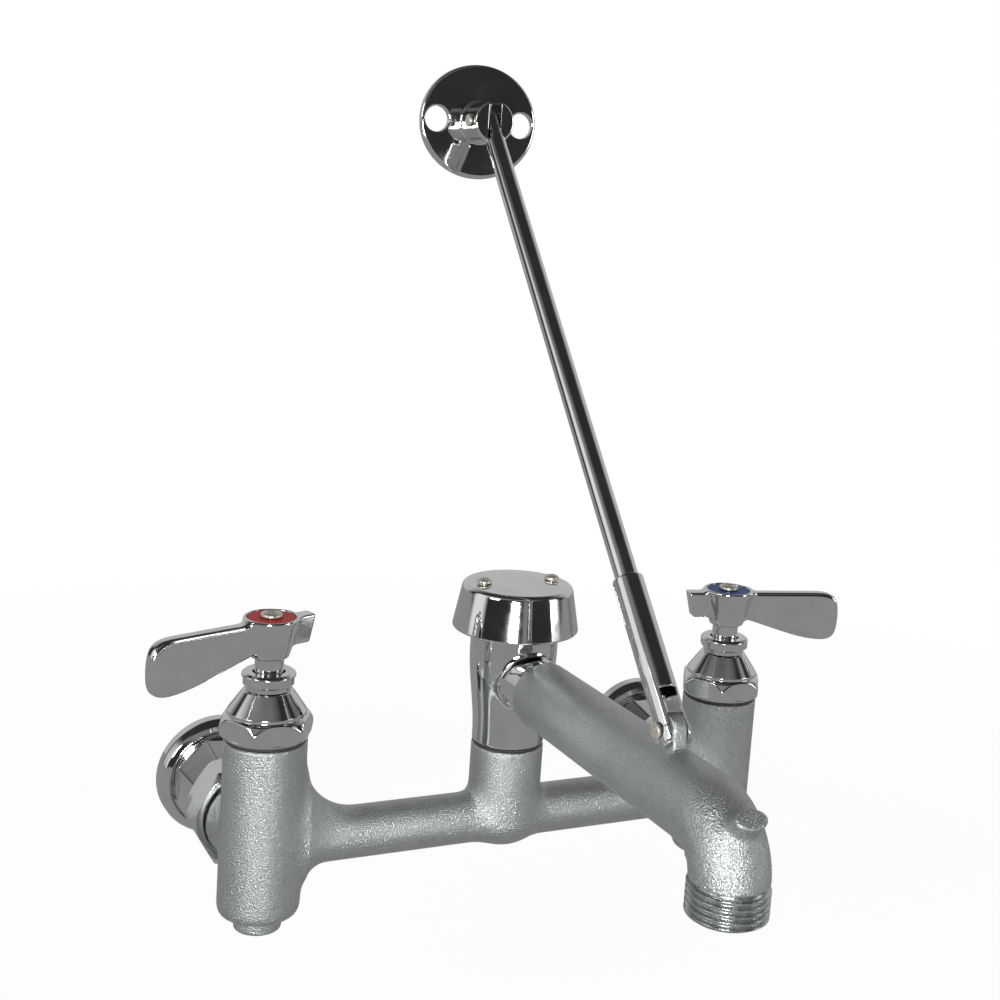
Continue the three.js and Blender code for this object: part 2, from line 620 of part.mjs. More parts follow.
/** Renewable seat: a threaded shank below a flange, with the supply hole through it. */
function valveSeat() {
  const flangeBottom = SEAT_TOP - SEAT_FLANGE_THICKNESS;
  return turned([
    [SEAT_BORE_RADIUS, flangeBottom - SEAT_SHANK_LENGTH],
    [SEAT_RADIUS, flangeBottom - SEAT_SHANK_LENGTH],
    [SEAT_RADIUS, flangeBottom],
    [SEAT_FLANGE_RADIUS, flangeBottom],
    [SEAT_FLANGE_RADIUS, SEAT_TOP - 0.8],
    [SEAT_BORE_RADIUS + 1.2, SEAT_TOP],
    [SEAT_BORE_RADIUS, SEAT_TOP - 0.5],
    [SEAT_BORE_RADIUS, flangeBottom - SEAT_SHANK_LENGTH],
  ], BORE_FACETS);
}

function seatWasher() {
  return ring(WASHER_SCREW_RADIUS + SEAT_GAP, WASHER_RADIUS, WASHER_BOTTOM, WASHER_BOTTOM + WASHER_THICKNESS);
}

/** Swivel holder: keeps the washer from turning on the seat while the stem turns above it. */
function washerHolder() {
  return turned([
    [WASHER_SCREW_RADIUS + SEAT_GAP, HOLDER_BOTTOM],
    [WASHER_RADIUS, HOLDER_BOTTOM],
    [WASHER_RADIUS, HOLDER_TOP - 1],
    [WASHER_RADIUS - 1, HOLDER_TOP],
    [STEM_TIP_RADIUS + RUNNING_GAP, HOLDER_TOP],
    [STEM_TIP_RADIUS + RUNNING_GAP, STEM_BOTTOM - SEAT_GAP],
    [WASHER_SCREW_RADIUS + SEAT_GAP, STEM_BOTTOM - SEAT_GAP],
    [WASHER_SCREW_RADIUS + SEAT_GAP, HOLDER_BOTTOM],
  ], SMALL_FACETS);
}

function washerScrew() {
  const headTop = WASHER_BOTTOM - SEAT_GAP;
  return turned([
    [0, headTop - WASHER_SCREW_HEAD_HEIGHT],
    [WASHER_SCREW_HEAD_RADIUS - 0.6, headTop - WASHER_SCREW_HEAD_HEIGHT],
    [WASHER_SCREW_HEAD_RADIUS, headTop - WASHER_SCREW_HEAD_HEIGHT + 0.6],
    [WASHER_SCREW_HEAD_RADIUS, headTop],
    [WASHER_SCREW_RADIUS, headTop],
    [WASHER_SCREW_RADIUS, STEM_BOTTOM - 2 * SEAT_GAP],
    [0, STEM_BOTTOM - 2 * SEAT_GAP],
  ], SMALL_FACETS);
}

/** Stem: swivel tip, collar, lifting thread, plain shank, and the splined end for the handle. */
function stem() {
  const collarBottom = HOLDER_TOP + SEAT_GAP;
  const splineBottom = HANDLE_BOTTOM + 2;
  const body = turned([
    [0, STEM_BOTTOM],
    [STEM_TIP_RADIUS, STEM_BOTTOM],
    [STEM_TIP_RADIUS, collarBottom],
    [STEM_COLLAR_RADIUS, collarBottom],
    [STEM_COLLAR_RADIUS, STEM_THREAD_BOTTOM],
    [STEM_THREAD_RADIUS, STEM_THREAD_BOTTOM + 1],
    [STEM_THREAD_RADIUS, STEM_THREAD_TOP],
    [STEM_RADIUS, STEM_THREAD_TOP + 1],
    [STEM_RADIUS, splineBottom],
    [STEM_SPLINE_RADIUS, splineBottom],
    [STEM_SPLINE_RADIUS, STEM_TOP],
    [0, STEM_TOP],
  ], BORE_FACETS);
  const screwHole = round(HANDLE_SCREW_RADIUS + SEAT_GAP, INDEX_TOP - HANDLE_SCREW_LENGTH, STEM_TOP + 1, SMALL_FACETS);
  return cut(body, screwHole);
}

// ---------- Handle ----------

/** Side view of the blade: a level top edge, a falling lower edge and a well-rounded tip. */
function bladeSide() {
  const shape = new THREE.Shape();
  shape.moveTo(0, BLADE_ROOT_BOTTOM);
  shape.lineTo(HUB_BOTTOM_RADIUS, BLADE_ROOT_BOTTOM);
  shape.lineTo(BLADE_LENGTH - 1.5 * BLADE_TIP_LOWER_RADIUS, BLADE_TIP_BOTTOM + 0.6);
  shape.quadraticCurveTo(
    BLADE_LENGTH - 0.2 * BLADE_TIP_LOWER_RADIUS, BLADE_TIP_BOTTOM - 1.6,
    BLADE_LENGTH - 0.1, BLADE_TIP_BOTTOM + BLADE_TIP_LOWER_RADIUS,
  );
  shape.quadraticCurveTo(BLADE_LENGTH, BLADE_TOP, BLADE_LENGTH - BLADE_TIP_UPPER_RADIUS, BLADE_TOP);
  shape.lineTo(0, BLADE_TOP);
  shape.closePath();
  return shape;
}

/** Plan of a blade or stub: parallel sides that flare into the hub by fillets. */
function rootPlan(length, thickness, tipRound) {
  const half = thickness / 2;
  const root = HUB_BOTTOM_RADIUS;
  const flare = root + BLADE_ROOT_FILLET;
  const shape = new THREE.Shape();
  shape.moveTo(0, -half - BLADE_ROOT_FILLET);
  shape.lineTo(root, -half - BLADE_ROOT_FILLET);
  shape.quadraticCurveTo(root + 0.6, -half, flare + 0.8, -half);
  shape.lineTo(length - tipRound, -half);
  shape.quadraticCurveTo(length, -half, length, 0);
  shape.quadraticCurveTo(length, half, length - tipRound, half);
  shape.lineTo(flare + 0.8, half);
  shape.quadraticCurveTo(root + 0.6, half, root, half + BLADE_ROOT_FILLET);
  shape.lineTo(0, half + BLADE_ROOT_FILLET);
  shape.closePath();
  return shape;
}

function stubSide() {
  const shape = new THREE.Shape();
  shape.moveTo(0, STUB_BOTTOM);
  shape.lineTo(STUB_LENGTH - STUB_END_SLANT, STUB_BOTTOM);
  shape.lineTo(STUB_LENGTH, BLADE_TOP - 1);
  shape.lineTo(STUB_LENGTH - 1, BLADE_TOP);
  shape.lineTo(0, BLADE_TOP);
  shape.closePath();
  return shape;
}

/** Lever handle: a tapered hub with a long blade on one side and a short stub on the other. */
function handle() {
  const height = HANDLE_TOP - HANDLE_BOTTOM;
  const hub = turned([
    [0, HANDLE_BOTTOM],
    [HUB_BOTTOM_RADIUS - 0.5, HANDLE_BOTTOM],
    [HUB_BOTTOM_RADIUS, HANDLE_BOTTOM + 0.5],
    [HUB_BOTTOM_RADIUS + 0.75 * (HUB_TOP_RADIUS - HUB_BOTTOM_RADIUS), HANDLE_BOTTOM + 0.7 * height],
    [HUB_TOP_RADIUS, HANDLE_TOP - 1.4],
    [HUB_TOP_RADIUS, HANDLE_TOP - 0.6],
    [HUB_TOP_RADIUS - 0.5, HANDLE_TOP],
    [0, HANDLE_TOP],
  ]);
  const blade = overlapOf(
    plate(bladeSide(), 2 * HUB_TOP_RADIUS, 5),
    raised(rootPlan(BLADE_LENGTH, BLADE_THICKNESS, 2), BLADE_TIP_BOTTOM - 1, BLADE_TOP + 1, 2),
  );
  const stub = overlapOf(
    plate(stubSide(), 2 * HUB_TOP_RADIUS),
    raised(rootPlan(STUB_LENGTH, STUB_THICKNESS, 1), STUB_BOTTOM - 1, BLADE_TOP + 1, 2),
  ).rotateZ(Math.PI);
  const recess = round(HUB_RIM_RADIUS, HANDLE_TOP - INDEX_RECESS, HANDLE_TOP + 1, BORE_FACETS);
  const stemSocket = round(STEM_RADIUS + SEAT_GAP, HANDLE_BOTTOM - 1, HANDLE_BOTTOM + 2 + SEAT_GAP, SMALL_FACETS);
  const splineSocket = round(STEM_SPLINE_RADIUS + SEAT_GAP, HANDLE_BOTTOM, STEM_TOP + SEAT_GAP, SMALL_FACETS);
  const screwHole = round(HANDLE_SCREW_RADIUS + SEAT_GAP, HANDLE_BOTTOM, HANDLE_TOP, SMALL_FACETS);
  return cut(join(hub, blade, stub), recess, stemSocket, splineSocket, screwHole);
}

function indexDisc() {
  return ring(HANDLE_SCREW_RADIUS + SEAT_GAP, HUB_RIM_RADIUS - SEAT_GAP, INDEX_BOTTOM, INDEX_TOP);
}

/** A screw with a rounded head and a cross recess, its head standing on z = 0. */
function crossScrew(headRadius, headHeight, shankRadius, length) {
  const head = new THREE.Path();
  head.absellipse(0, headHeight * 0.35, headRadius, headHeight * 0.65, 0, Math.PI / 2, false);
  const blank = turned([
    [0, -length],
    [shankRadius, -length],
    [shankRadius, 0],
    [headRadius, 0],
    ...head.getPoints(3).map((point) => [Math.max(point.x, 0), point.y]),
  ], SMALL_FACETS);
  const slot = [headRadius * 1.15, headRadius * 0.26, headHeight];
  const lift = headHeight * 1.05;
  return cut(
    blank,
    new THREE.BoxGeometry(slot[0], slot[1], slot[2]).translate(0, 0, lift),
    new THREE.BoxGeometry(slot[1], slot[0], slot[2]).translate(0, 0, lift),
  );
}

// ---------- Inlets, about +Z towards the wall ----------

function couplingWasher() {
  const end = COUPLING_WASHER_START + COUPLING_WASHER_THICKNESS;
  return ring(INLET_BORE_RADIUS, COLLAR_RADIUS, COUPLING_WASHER_START, end);
}

/** Union nut that pulls the tailpiece collar against the inlet boss. */
function couplingNut() {
  const corners = NUT_FLATS / Math.cos(Math.PI / 6) / 2;
  const outside = turned([
    [0, NUT_START],
    [NUT_FACE_RADIUS, NUT_START],
    [corners, NUT_START + NUT_CHAMFER],
    [corners, NUT_END - NUT_CHAMFER],
    [NUT_FACE_RADIUS, NUT_END],
    [0, NUT_END],
  ]);
  const hexagon = overlapOf(raised(polygon(6, NUT_FLATS), NUT_START, NUT_END), outside);
  const bore = turned([
    [0, NUT_START - 1],
    [INLET_THREAD_RADIUS + SEAT_GAP, NUT_START - 1],
    [INLET_THREAD_RADIUS + SEAT_GAP, NUT_END - NUT_LIP],
    [TAILPIECE_RADIUS + SEAT_GAP, NUT_END - NUT_LIP],
    [TAILPIECE_RADIUS + SEAT_GAP, NUT_END + 1],
    [0, NUT_END + 1],
  ], BORE_FACETS);
  return cut(hexagon, bore);
}

/** Inlet flange: collar and tailpiece for the nut, wrench-flat hub, and the round wall flange. */
function inletFlange() {
  const faceStart = WALL_TO_BODY - ESCUTCHEON_THICKNESS;
  const rim = new THREE.Path();
  rim.absellipse(
    ESCUTCHEON_FACE_RADIUS, WALL_TO_BODY - ESCUTCHEON_EDGE,
    ESCUTCHEON_RADIUS - ESCUTCHEON_FACE_RADIUS, ESCUTCHEON_THICKNESS - ESCUTCHEON_EDGE,
    -Math.PI / 2, 0, false,
  );
  const tailpiece = turned([
    [0, COLLAR_START],
    [COLLAR_RADIUS, COLLAR_START],
    [COLLAR_RADIUS, COLLAR_END],
    [TAILPIECE_RADIUS, COLLAR_END],
    [TAILPIECE_RADIUS, HUB_START + 1],
    [0, HUB_START + 1],
  ], BORE_FACETS);
  const hub = new THREE.CylinderGeometry(HUB_ROOT_RADIUS, HUB_NOSE_RADIUS, HUB_END - HUB_START, 8)
    .rotateX(Math.PI / 2)
    .rotateZ(Math.PI / 8)
    .translate(0, 0, (HUB_START + HUB_END) / 2);
  const nose = turned([
    [0, HUB_START],
    [HUB_NOSE_RADIUS - 1.6, HUB_START],
    [HUB_ROOT_RADIUS + 1, HUB_START + 9],
    [HUB_ROOT_RADIUS + 1, HUB_END],
    [0, HUB_END],
  ]);
  const disc = turned([
    [0, faceStart + ESCUTCHEON_DISH],
    [ESCUTCHEON_FACE_RADIUS - ESCUTCHEON_RIM_WIDTH, faceStart + ESCUTCHEON_DISH],
    [ESCUTCHEON_FACE_RADIUS - ESCUTCHEON_RIM_WIDTH + 0.6, faceStart],
    ...rim.getPoints(4).map((point) => [point.x, point.y]),
    [ESCUTCHEON_RADIUS, WALL_TO_BODY],
    [0, WALL_TO_BODY],
  ]);
  const root = round(HUB_ROOT_RADIUS - 2, HUB_END - 1, faceStart + ESCUTCHEON_DISH + 1);
  const socketFloor = WALL_TO_BODY - PIPE_SOCKET_DEPTH;
  const bore = turned([
    [0, COLLAR_START - 1],
    [TAILPIECE_BORE_RADIUS, COLLAR_START - 1],
    [TAILPIECE_BORE_RADIUS, socketFloor],
    [PIPE_SOCKET_RADIUS - 0.8, socketFloor],
    [PIPE_SOCKET_RADIUS, WALL_TO_BODY],
    [PIPE_SOCKET_RADIUS, WALL_TO_BODY + 1],
    [0, WALL_TO_BODY + 1],
  ], BORE_FACETS);
  return cut(join(tailpiece, overlapOf(hub, nose), root, disc), bore);
}

// ---------- Vacuum breaker ----------

function breakerSeal() {
  const top = BREAKER_SEAL_BOTTOM + BREAKER_SEAL_THICKNESS;
  return ring(RISER_BORE_RADIUS, BREAKER_FOOT_RADIUS - SEAT_GAP, BREAKER_SEAL_BOTTOM, top, BORE_FACETS);
}

/** Turns something made about +Z so that it points out along the spout, from the breaker axis. */
function alongSpout(geometry) {
  return geometry.rotateX(Math.PI / 2 - RISE_ANGLE).translate(0, 0, SPOUT_AXIS_HEIGHT);
}

/** Polished breaker body: nipple, swelling cup, and the neck that carries the spout. */
function breakerBody() {
  const cup = turned([
    [0, BREAKER_BOTTOM - BREAKER_NIPPLE_LENGTH],
    [RISER_BORE_RADIUS - SEAT_GAP, BREAKER_BOTTOM - BREAKER_NIPPLE_LENGTH],
    [RISER_BORE_RADIUS - SEAT_GAP, BREAKER_BOTTOM],
    [BREAKER_FOOT_RADIUS, BREAKER_BOTTOM],
    [BREAKER_FOOT_RADIUS, BREAKER_BOTTOM + 8],
    [BREAKER_FOOT_RADIUS + 0.9, BREAKER_BOTTOM + 18],
    [BREAKER_SHOULDER_RADIUS - 0.7, BREAKER_BOTTOM + 26],
    [BREAKER_SHOULDER_RADIUS, BREAKER_SHOULDER_HEIGHT],
    [BREAKER_SHOULDER_RADIUS, BREAKER_TOP],
    [0, BREAKER_TOP],
  ]);
  const nippleRadius = SPOUT_BORE_RADIUS - SEAT_GAP;
  const neck = alongSpout(turned([
    [0, 0],
    [SPOUT_NECK_RADIUS + 2, 0],
    [SPOUT_NECK_RADIUS + 2, BREAKER_SHOULDER_RADIUS - 1],
    [SPOUT_NECK_RADIUS, BREAKER_SHOULDER_RADIUS + 3],
    [SPOUT_NECK_RADIUS, SPOUT_NECK_LENGTH],
    [nippleRadius, SPOUT_NECK_LENGTH],
    [nippleRadius, SPOUT_NECK_LENGTH + SPOUT_NIPPLE_LENGTH],
    [0, SPOUT_NECK_LENGTH + SPOUT_NIPPLE_LENGTH],
  ]));
  const chamber = turned([
    [0, BREAKER_BOTTOM - BREAKER_NIPPLE_LENGTH - 1],
    [BREAKER_SUPPLY_RADIUS, BREAKER_BOTTOM - BREAKER_NIPPLE_LENGTH - 1],
    [BREAKER_SUPPLY_RADIUS, BREAKER_SEAT_HEIGHT],
    [BREAKER_CHAMBER_RADIUS, BREAKER_SEAT_HEIGHT],
    [BREAKER_CHAMBER_RADIUS, BREAKER_TOP + 1],
    [0, BREAKER_TOP + 1],
  ]);
  const outletLength = SPOUT_NECK_LENGTH + SPOUT_NIPPLE_LENGTH + 1;
  const outlet = alongSpout(round(nippleRadius - SPOUT_NIPPLE_WALL, 0, outletLength, SMALL_FACETS));
  return cut(join(cup, neck), chamber, outlet);
}

function floatSeal() {
  return round(FLOAT_SEAL_RADIUS, FLOAT_BOTTOM, FLOAT_BOTTOM + FLOAT_SEAL_THICKNESS, SMALL_FACETS);
}

/** Float: its lower disc shuts the supply seat, and the flow lifts its upper disc to the vents. */
function floatDisc() {
  const top = FLOAT_DISC_BOTTOM + FLOAT_THICKNESS;
  const ventDiscTop = VENT_CAP_BOTTOM - SEAT_GAP - FLOAT_TRAVEL;
  const ventDiscBottom = ventDiscTop - VENT_DISC_THICKNESS;
  return turned([
    [0, FLOAT_DISC_BOTTOM],
    [FLOAT_RADIUS, FLOAT_DISC_BOTTOM],
    [FLOAT_RADIUS, top - 0.6],
    [FLOAT_RADIUS - 0.6, top],
    [FLOAT_GUIDE_RADIUS + 1.4, top],
    [FLOAT_GUIDE_RADIUS, top + 3],
    [FLOAT_GUIDE_RADIUS, ventDiscBottom],
    [VENT_DISC_RADIUS, ventDiscBottom],
    [VENT_DISC_RADIUS, ventDiscTop],
    [FLOAT_GUIDE_RADIUS, ventDiscTop],
    [FLOAT_GUIDE_RADIUS, FLOAT_GUIDE_TOP],
    [0, FLOAT_GUIDE_TOP],
  ], SMALL_FACETS);
}

/** Vent cap: screws into the top of the breaker and lets air in through a circle of ports. */
function ventCap() {
  const blank = turned([
    [FLOAT_GUIDE_RADIUS + RUNNING_GAP, VENT_CAP_BOTTOM],
    [BREAKER_CHAMBER_RADIUS - SEAT_GAP, VENT_CAP_BOTTOM],
    [BREAKER_CHAMBER_RADIUS - SEAT_GAP, VENT_CAP_FLANGE_BOTTOM],
    [BREAKER_SHOULDER_RADIUS, VENT_CAP_FLANGE_BOTTOM],
    [BREAKER_SHOULDER_RADIUS, VENT_CAP_TOP],
    [FLOAT_GUIDE_RADIUS + RUNNING_GAP, VENT_CAP_TOP],
    [FLOAT_GUIDE_RADIUS + RUNNING_GAP, VENT_CAP_BOTTOM],
  ]);
  const ports = turnAngles(VENT_PORT_COUNT).map((angle) => {
    const turn = angle + Math.PI / VENT_PORT_COUNT;
    const place = [VENT_PORT_CIRCLE_RADIUS * Math.cos(turn), VENT_PORT_CIRCLE_RADIUS * Math.sin(turn), 0];
    return round(VENT_PORT_RADIUS, VENT_CAP_BOTTOM - 1, VENT_CAP_TOP + 1, 8).translate(...place);
  });
  const screwHoles = [-1, 1].map((side) => (
    round(CANOPY_SCREW_RADIUS + SEAT_GAP, VENT_CAP_FLANGE_BOTTOM - 1, VENT_CAP_TOP + 1, SMALL_FACETS)
      .translate(side * CANOPY_SCREW_OFFSET, 0, 0)
  ));
  return cut(blank, ...ports, ...screwHoles);
}

/** Canopy: a cone with a rounded, slightly domed top, hollow below to let air in round its rim. */
function canopy() {
  const edge = new THREE.Path();
  edge.absarc(CANOPY_EDGE_RADIUS - CANOPY_EDGE_ROUND, CANOPY_EDGE_HEIGHT, CANOPY_EDGE_ROUND, 0, Math.PI / 2, false);
  const roof = CANOPY_EDGE_HEIGHT + CANOPY_EDGE_ROUND - CANOPY_WALL;
  const shell = turned([
    [0, roof],
    [CANOPY_EDGE_RADIUS - CANOPY_WALL - 1, roof],
    [CANOPY_EDGE_RADIUS - CANOPY_WALL, roof - 1],
    [CANOPY_RIM_RADIUS - CANOPY_WALL, CANOPY_RIM_HEIGHT],
    [CANOPY_RIM_RADIUS - 0.4, CANOPY_RIM_HEIGHT],
    [CANOPY_RIM_RADIUS, CANOPY_RIM_HEIGHT + 1],
    ...edge.getPoints(3).map((point) => [point.x, point.y]),
    [CANOPY_EDGE_RADIUS * 0.55, CANOPY_TOP - 0.3 * CANOPY_CROWN],
    [0, CANOPY_TOP],
  ], CAST_FACETS);
  const bosses = [-1, 1].map((side) => (
    round(CANOPY_BOSS_RADIUS, VENT_CAP_TOP + SEAT_GAP, roof + 1, SMALL_FACETS)
      .translate(side * CANOPY_SCREW_OFFSET, 0, 0)
  ));
  const screwHoles = [-1, 1].map((side) => (
    round(CANOPY_SCREW_RADIUS + SEAT_GAP, VENT_CAP_TOP, CANOPY_TOP + 1, SMALL_FACETS)
      .translate(side * CANOPY_SCREW_OFFSET, 0, 0)
  ));
  return cut(join(shell, ...bosses), ...screwHoles);
}

/** Height of the canopy's top face at the screws. */
const CANOPY_SCREW_SEAT = CANOPY_TOP - 0.3 * CANOPY_CROWN + SEAT_GAP;

// ---------- Spout ----------

/** Centre and heading of the spout axis: level run, then the elbow down to the outlet. */
function spoutPath(start) {
  const centre = { out: SPOUT_REACH - ELBOW_RADIUS, up: 0 };
  const bendOut = centre.out - ELBOW_RADIUS * Math.sin(RISE_ANGLE);
  centre.up = SPOUT_AXIS_HEIGHT + bendOut * Math.tan(RISE_ANGLE) - ELBOW_RADIUS * Math.cos(RISE_ANGLE);
  const straight = [start, start + 0.5 * (bendOut - start)].map((out) => (
    { out, up: SPOUT_AXIS_HEIGHT + out * Math.tan(RISE_ANGLE), heading: RISE_ANGLE }
  ));
  const bend = stations(RISE_ANGLE, -Math.PI / 2, 7).map((heading) => ({
    out: centre.out - ELBOW_RADIUS * Math.sin(heading),
    up: centre.up + ELBOW_RADIUS * Math.cos(heading),
    heading,
  }));
  return { path: [...straight, ...bend], outletTop: centre.up };
}

/** A round section swept along the spout path. */
function sweptRound(path, radius, facets) {
  return loft(path.map(({ out, up, heading }) => turnAngles(facets).map((angle) => {
    const lift = radius * Math.sin(angle);
    const place = [radius * Math.cos(angle), -(out - lift * Math.sin(heading)), up + lift * Math.cos(heading)];
    return new THREE.Vector3(...place);
  })));
}

/** Male hose thread about the outlet axis, its rings one pitch apart. */
function hoseThread(top) {
  const root = HOSE_THREAD_RADIUS - HOSE_THREAD_DEPTH;
  const bottom = top - (HOSE_THREAD_TURNS + 0.3) * HOSE_THREAD_PITCH;
  const profile = [[0, top], [root, top]];
  for (let turn = 0; turn < HOSE_THREAD_TURNS; turn += 1) {
    const crest = top - (turn + 0.5) * HOSE_THREAD_PITCH;
    const radius = HOSE_THREAD_RADIUS - (turn + 1 === HOSE_THREAD_TURNS ? 0.4 * HOSE_THREAD_LEAD_IN : 0);
    profile.push([radius, crest + 0.22 * HOSE_THREAD_PITCH]);
    profile.push([radius, crest - 0.22 * HOSE_THREAD_PITCH]);
    profile.push([root, crest - 0.5 * HOSE_THREAD_PITCH]);
  }
  profile.push([root - HOSE_THREAD_LEAD_IN / 2, bottom]);
  profile.push([0, bottom]);
  return turned(profile);
}

/** Lug: an eye on top of the spout that the brace is pinned to. */
function lug() {
  const spoutTop = SPOUT_RADIUS * 0.9 - LUG_PIN_RISE;
  const half = LUG_FOOT_LENGTH / 2;
  const shape = new THREE.Shape();
  shape.moveTo(-half, spoutTop);
  shape.quadraticCurveTo(-LUG_RADIUS, spoutTop + 0.5, -LUG_RADIUS, 0);
  shape.absarc(0, 0, LUG_RADIUS, Math.PI, 0, true);
  shape.quadraticCurveTo(LUG_RADIUS, spoutTop + 0.5, half, spoutTop);
  shape.closePath();
  return plate(shape, LUG_THICKNESS, 8)
    .rotateZ(Math.PI / 2)
    .translate(0, -LUG_REACH, LUG_PIN_HEIGHT);
}

/** Hook: a short oval horn on the elbow that keeps a pail's bail from slipping off. */
function pailHook(path) {
  const tilt = THREE.MathUtils.degToRad(HOOK_TILT);
  const foot = path[Math.round(path.length * 0.55)];
  const flares = [[0, HOOK_FOOT_FLARE], [0.55, HOOK_FOOT_FLARE], [0.75, 1.04], [0.93, 1], [1, 0.86]];
  return loft(flares.map(([share, flare]) => turnAngles(SMALL_FACETS).map((angle) => {
    const across = (HOOK_WIDTH / 2) * flare * Math.cos(angle);
    const lift = (HOOK_HEIGHT / 2) * flare * Math.sin(angle);
    const out = foot.out + share * HOOK_LENGTH * Math.cos(tilt) - lift * Math.sin(tilt);
    const up = foot.up + share * HOOK_LENGTH * Math.sin(tilt) + lift * Math.cos(tilt);
    return new THREE.Vector3(across, -out, up);
  })));
}

function spout() {
  const start = SPOUT_NECK_LENGTH + SEAT_GAP;
  const { path, outletTop } = spoutPath(start);
  const pipe = sweptRound(path, SPOUT_RADIUS, CAST_FACETS);
  const thread = hoseThread(outletTop + SEAT_GAP).translate(0, -SPOUT_REACH, 0);
  const threadBottom = outletTop + SEAT_GAP - (HOSE_THREAD_TURNS + 0.3) * HOSE_THREAD_PITCH;
  const boreStart = { ...path[0], out: start - 2, up: path[0].up - 2 * Math.tan(RISE_ANGLE) };
  const boreEnd = { out: SPOUT_REACH, up: threadBottom - 1, heading: -Math.PI / 2 };
  const bore = sweptRound([boreStart, ...path.slice(1), boreEnd], SPOUT_BORE_RADIUS, BORE_FACETS);
  const pinHole = round(BRACE_PIN_RADIUS + RUNNING_GAP, -LUG_THICKNESS, LUG_THICKNESS, SMALL_FACETS)
    .rotateY(Math.PI / 2)
    .translate(0, -LUG_REACH, LUG_PIN_HEIGHT);
  return cut(join(pipe, thread, lug(), pailHook(path)), bore, pinHole);
}

// ---------- Brace, about +Z from the lug pin to the wall pin ----------

/** A rivet pin along X, its head on the -X side. */
function rivet(halfLength) {
  return turned([
    [0, -halfLength - BRACE_PIN_HEAD_THICKNESS],
    [BRACE_PIN_HEAD_RADIUS - 0.5, -halfLength - BRACE_PIN_HEAD_THICKNESS],
    [BRACE_PIN_HEAD_RADIUS, -halfLength - BRACE_PIN_HEAD_THICKNESS + 0.5],
    [BRACE_PIN_HEAD_RADIUS, -halfLength],
    [BRACE_PIN_RADIUS, -halfLength],
    [BRACE_PIN_RADIUS, halfLength],
    [0, halfLength],
  ], SMALL_FACETS).rotateY(Math.PI / 2);
}

/** Sleeve: forked at the lug, bored for the rod. */
function braceSleeve() {
  const slotWidth = LUG_THICKNESS + 2 * RUNNING_GAP;
  const barrel = turned([
    [0, -SLEEVE_RADIUS],
    [SLEEVE_RADIUS, -SLEEVE_RADIUS],
    [SLEEVE_RADIUS, SLEEVE_LENGTH - SLEEVE_EDGE],
    [SLEEVE_RADIUS - SLEEVE_EDGE, SLEEVE_LENGTH],
    [0, SLEEVE_LENGTH],
  ], BORE_FACETS);
  const noseShape = new THREE.Shape();
  noseShape.moveTo(SLEEVE_RADIUS + 1, SLEEVE_LENGTH + 1);
  noseShape.lineTo(-SLEEVE_RADIUS - 1, SLEEVE_LENGTH + 1);
  noseShape.lineTo(-SLEEVE_RADIUS - 1, SLEEVE_RADIUS);
  noseShape.lineTo(-SLEEVE_RADIUS, 0);
  noseShape.absarc(0, 0, SLEEVE_RADIUS, Math.PI, 2 * Math.PI, false);
  noseShape.lineTo(SLEEVE_RADIUS + 1, SLEEVE_RADIUS);
  noseShape.closePath();
  const nose = plate(noseShape, 3 * SLEEVE_RADIUS, 8).rotateZ(Math.PI / 2);
  const slotHeight = SLEEVE_SLOT_DEPTH + 2 * SLEEVE_RADIUS;
  const slot = new THREE.BoxGeometry(slotWidth, 3 * SLEEVE_RADIUS, slotHeight)
    .translate(0, 0, SLEEVE_SLOT_DEPTH - slotHeight / 2);
  const bore = round(ROD_RADIUS + RUNNING_GAP, SLEEVE_SLOT_DEPTH - 1, SLEEVE_LENGTH + 1, SMALL_FACETS);
  const pinHole = round(BRACE_PIN_RADIUS + SEAT_GAP, -2 * SLEEVE_RADIUS, 2 * SLEEVE_RADIUS, SMALL_FACETS)
    .rotateY(Math.PI / 2);
  return cut(overlapOf(barrel, nose), slot, bore, pinHole);
}

/** Rod: round, with a flat rounded tongue at the wall end. */
function braceRod() {
  const bar = round(ROD_RADIUS, ROD_START, BRACE_LENGTH + ROD_RADIUS + 1, BORE_FACETS);
  const half = ROD_TONGUE_THICKNESS / 2;
  const tongueBottom = BRACE_LENGTH - ROD_TONGUE_LENGTH;
  const side = new THREE.Shape();
  side.moveTo(-ROD_RADIUS - 1, ROD_START - 1);
  side.lineTo(ROD_RADIUS + 1, ROD_START - 1);
  side.lineTo(ROD_RADIUS, tongueBottom);
  side.lineTo(ROD_RADIUS, BRACE_LENGTH);
  side.absarc(0, BRACE_LENGTH, ROD_RADIUS, 0, Math.PI, false);
  side.lineTo(-ROD_RADIUS, tongueBottom);
  side.closePath();
  const rounded = overlapOf(bar, plate(side, 3 * ROD_RADIUS, 8).rotateZ(Math.PI / 2));
  const cheeks = [-1, 1].map((cheek) => (
    new THREE.BoxGeometry(ROD_RADIUS, 3 * ROD_RADIUS, ROD_TONGUE_LENGTH + 2 * ROD_RADIUS)
      .translate(cheek * (half + ROD_RADIUS / 2), 0, tongueBottom + ROD_TONGUE_LENGTH / 2 + ROD_RADIUS)
  ));
  const pinHole = round(BRACE_PIN_RADIUS + RUNNING_GAP, -ROD_RADIUS, ROD_RADIUS, SMALL_FACETS)
    .rotateY(Math.PI / 2)
    .translate(0, 0, BRACE_LENGTH);
  return cut(rounded, ...cheeks, pinHole);
}

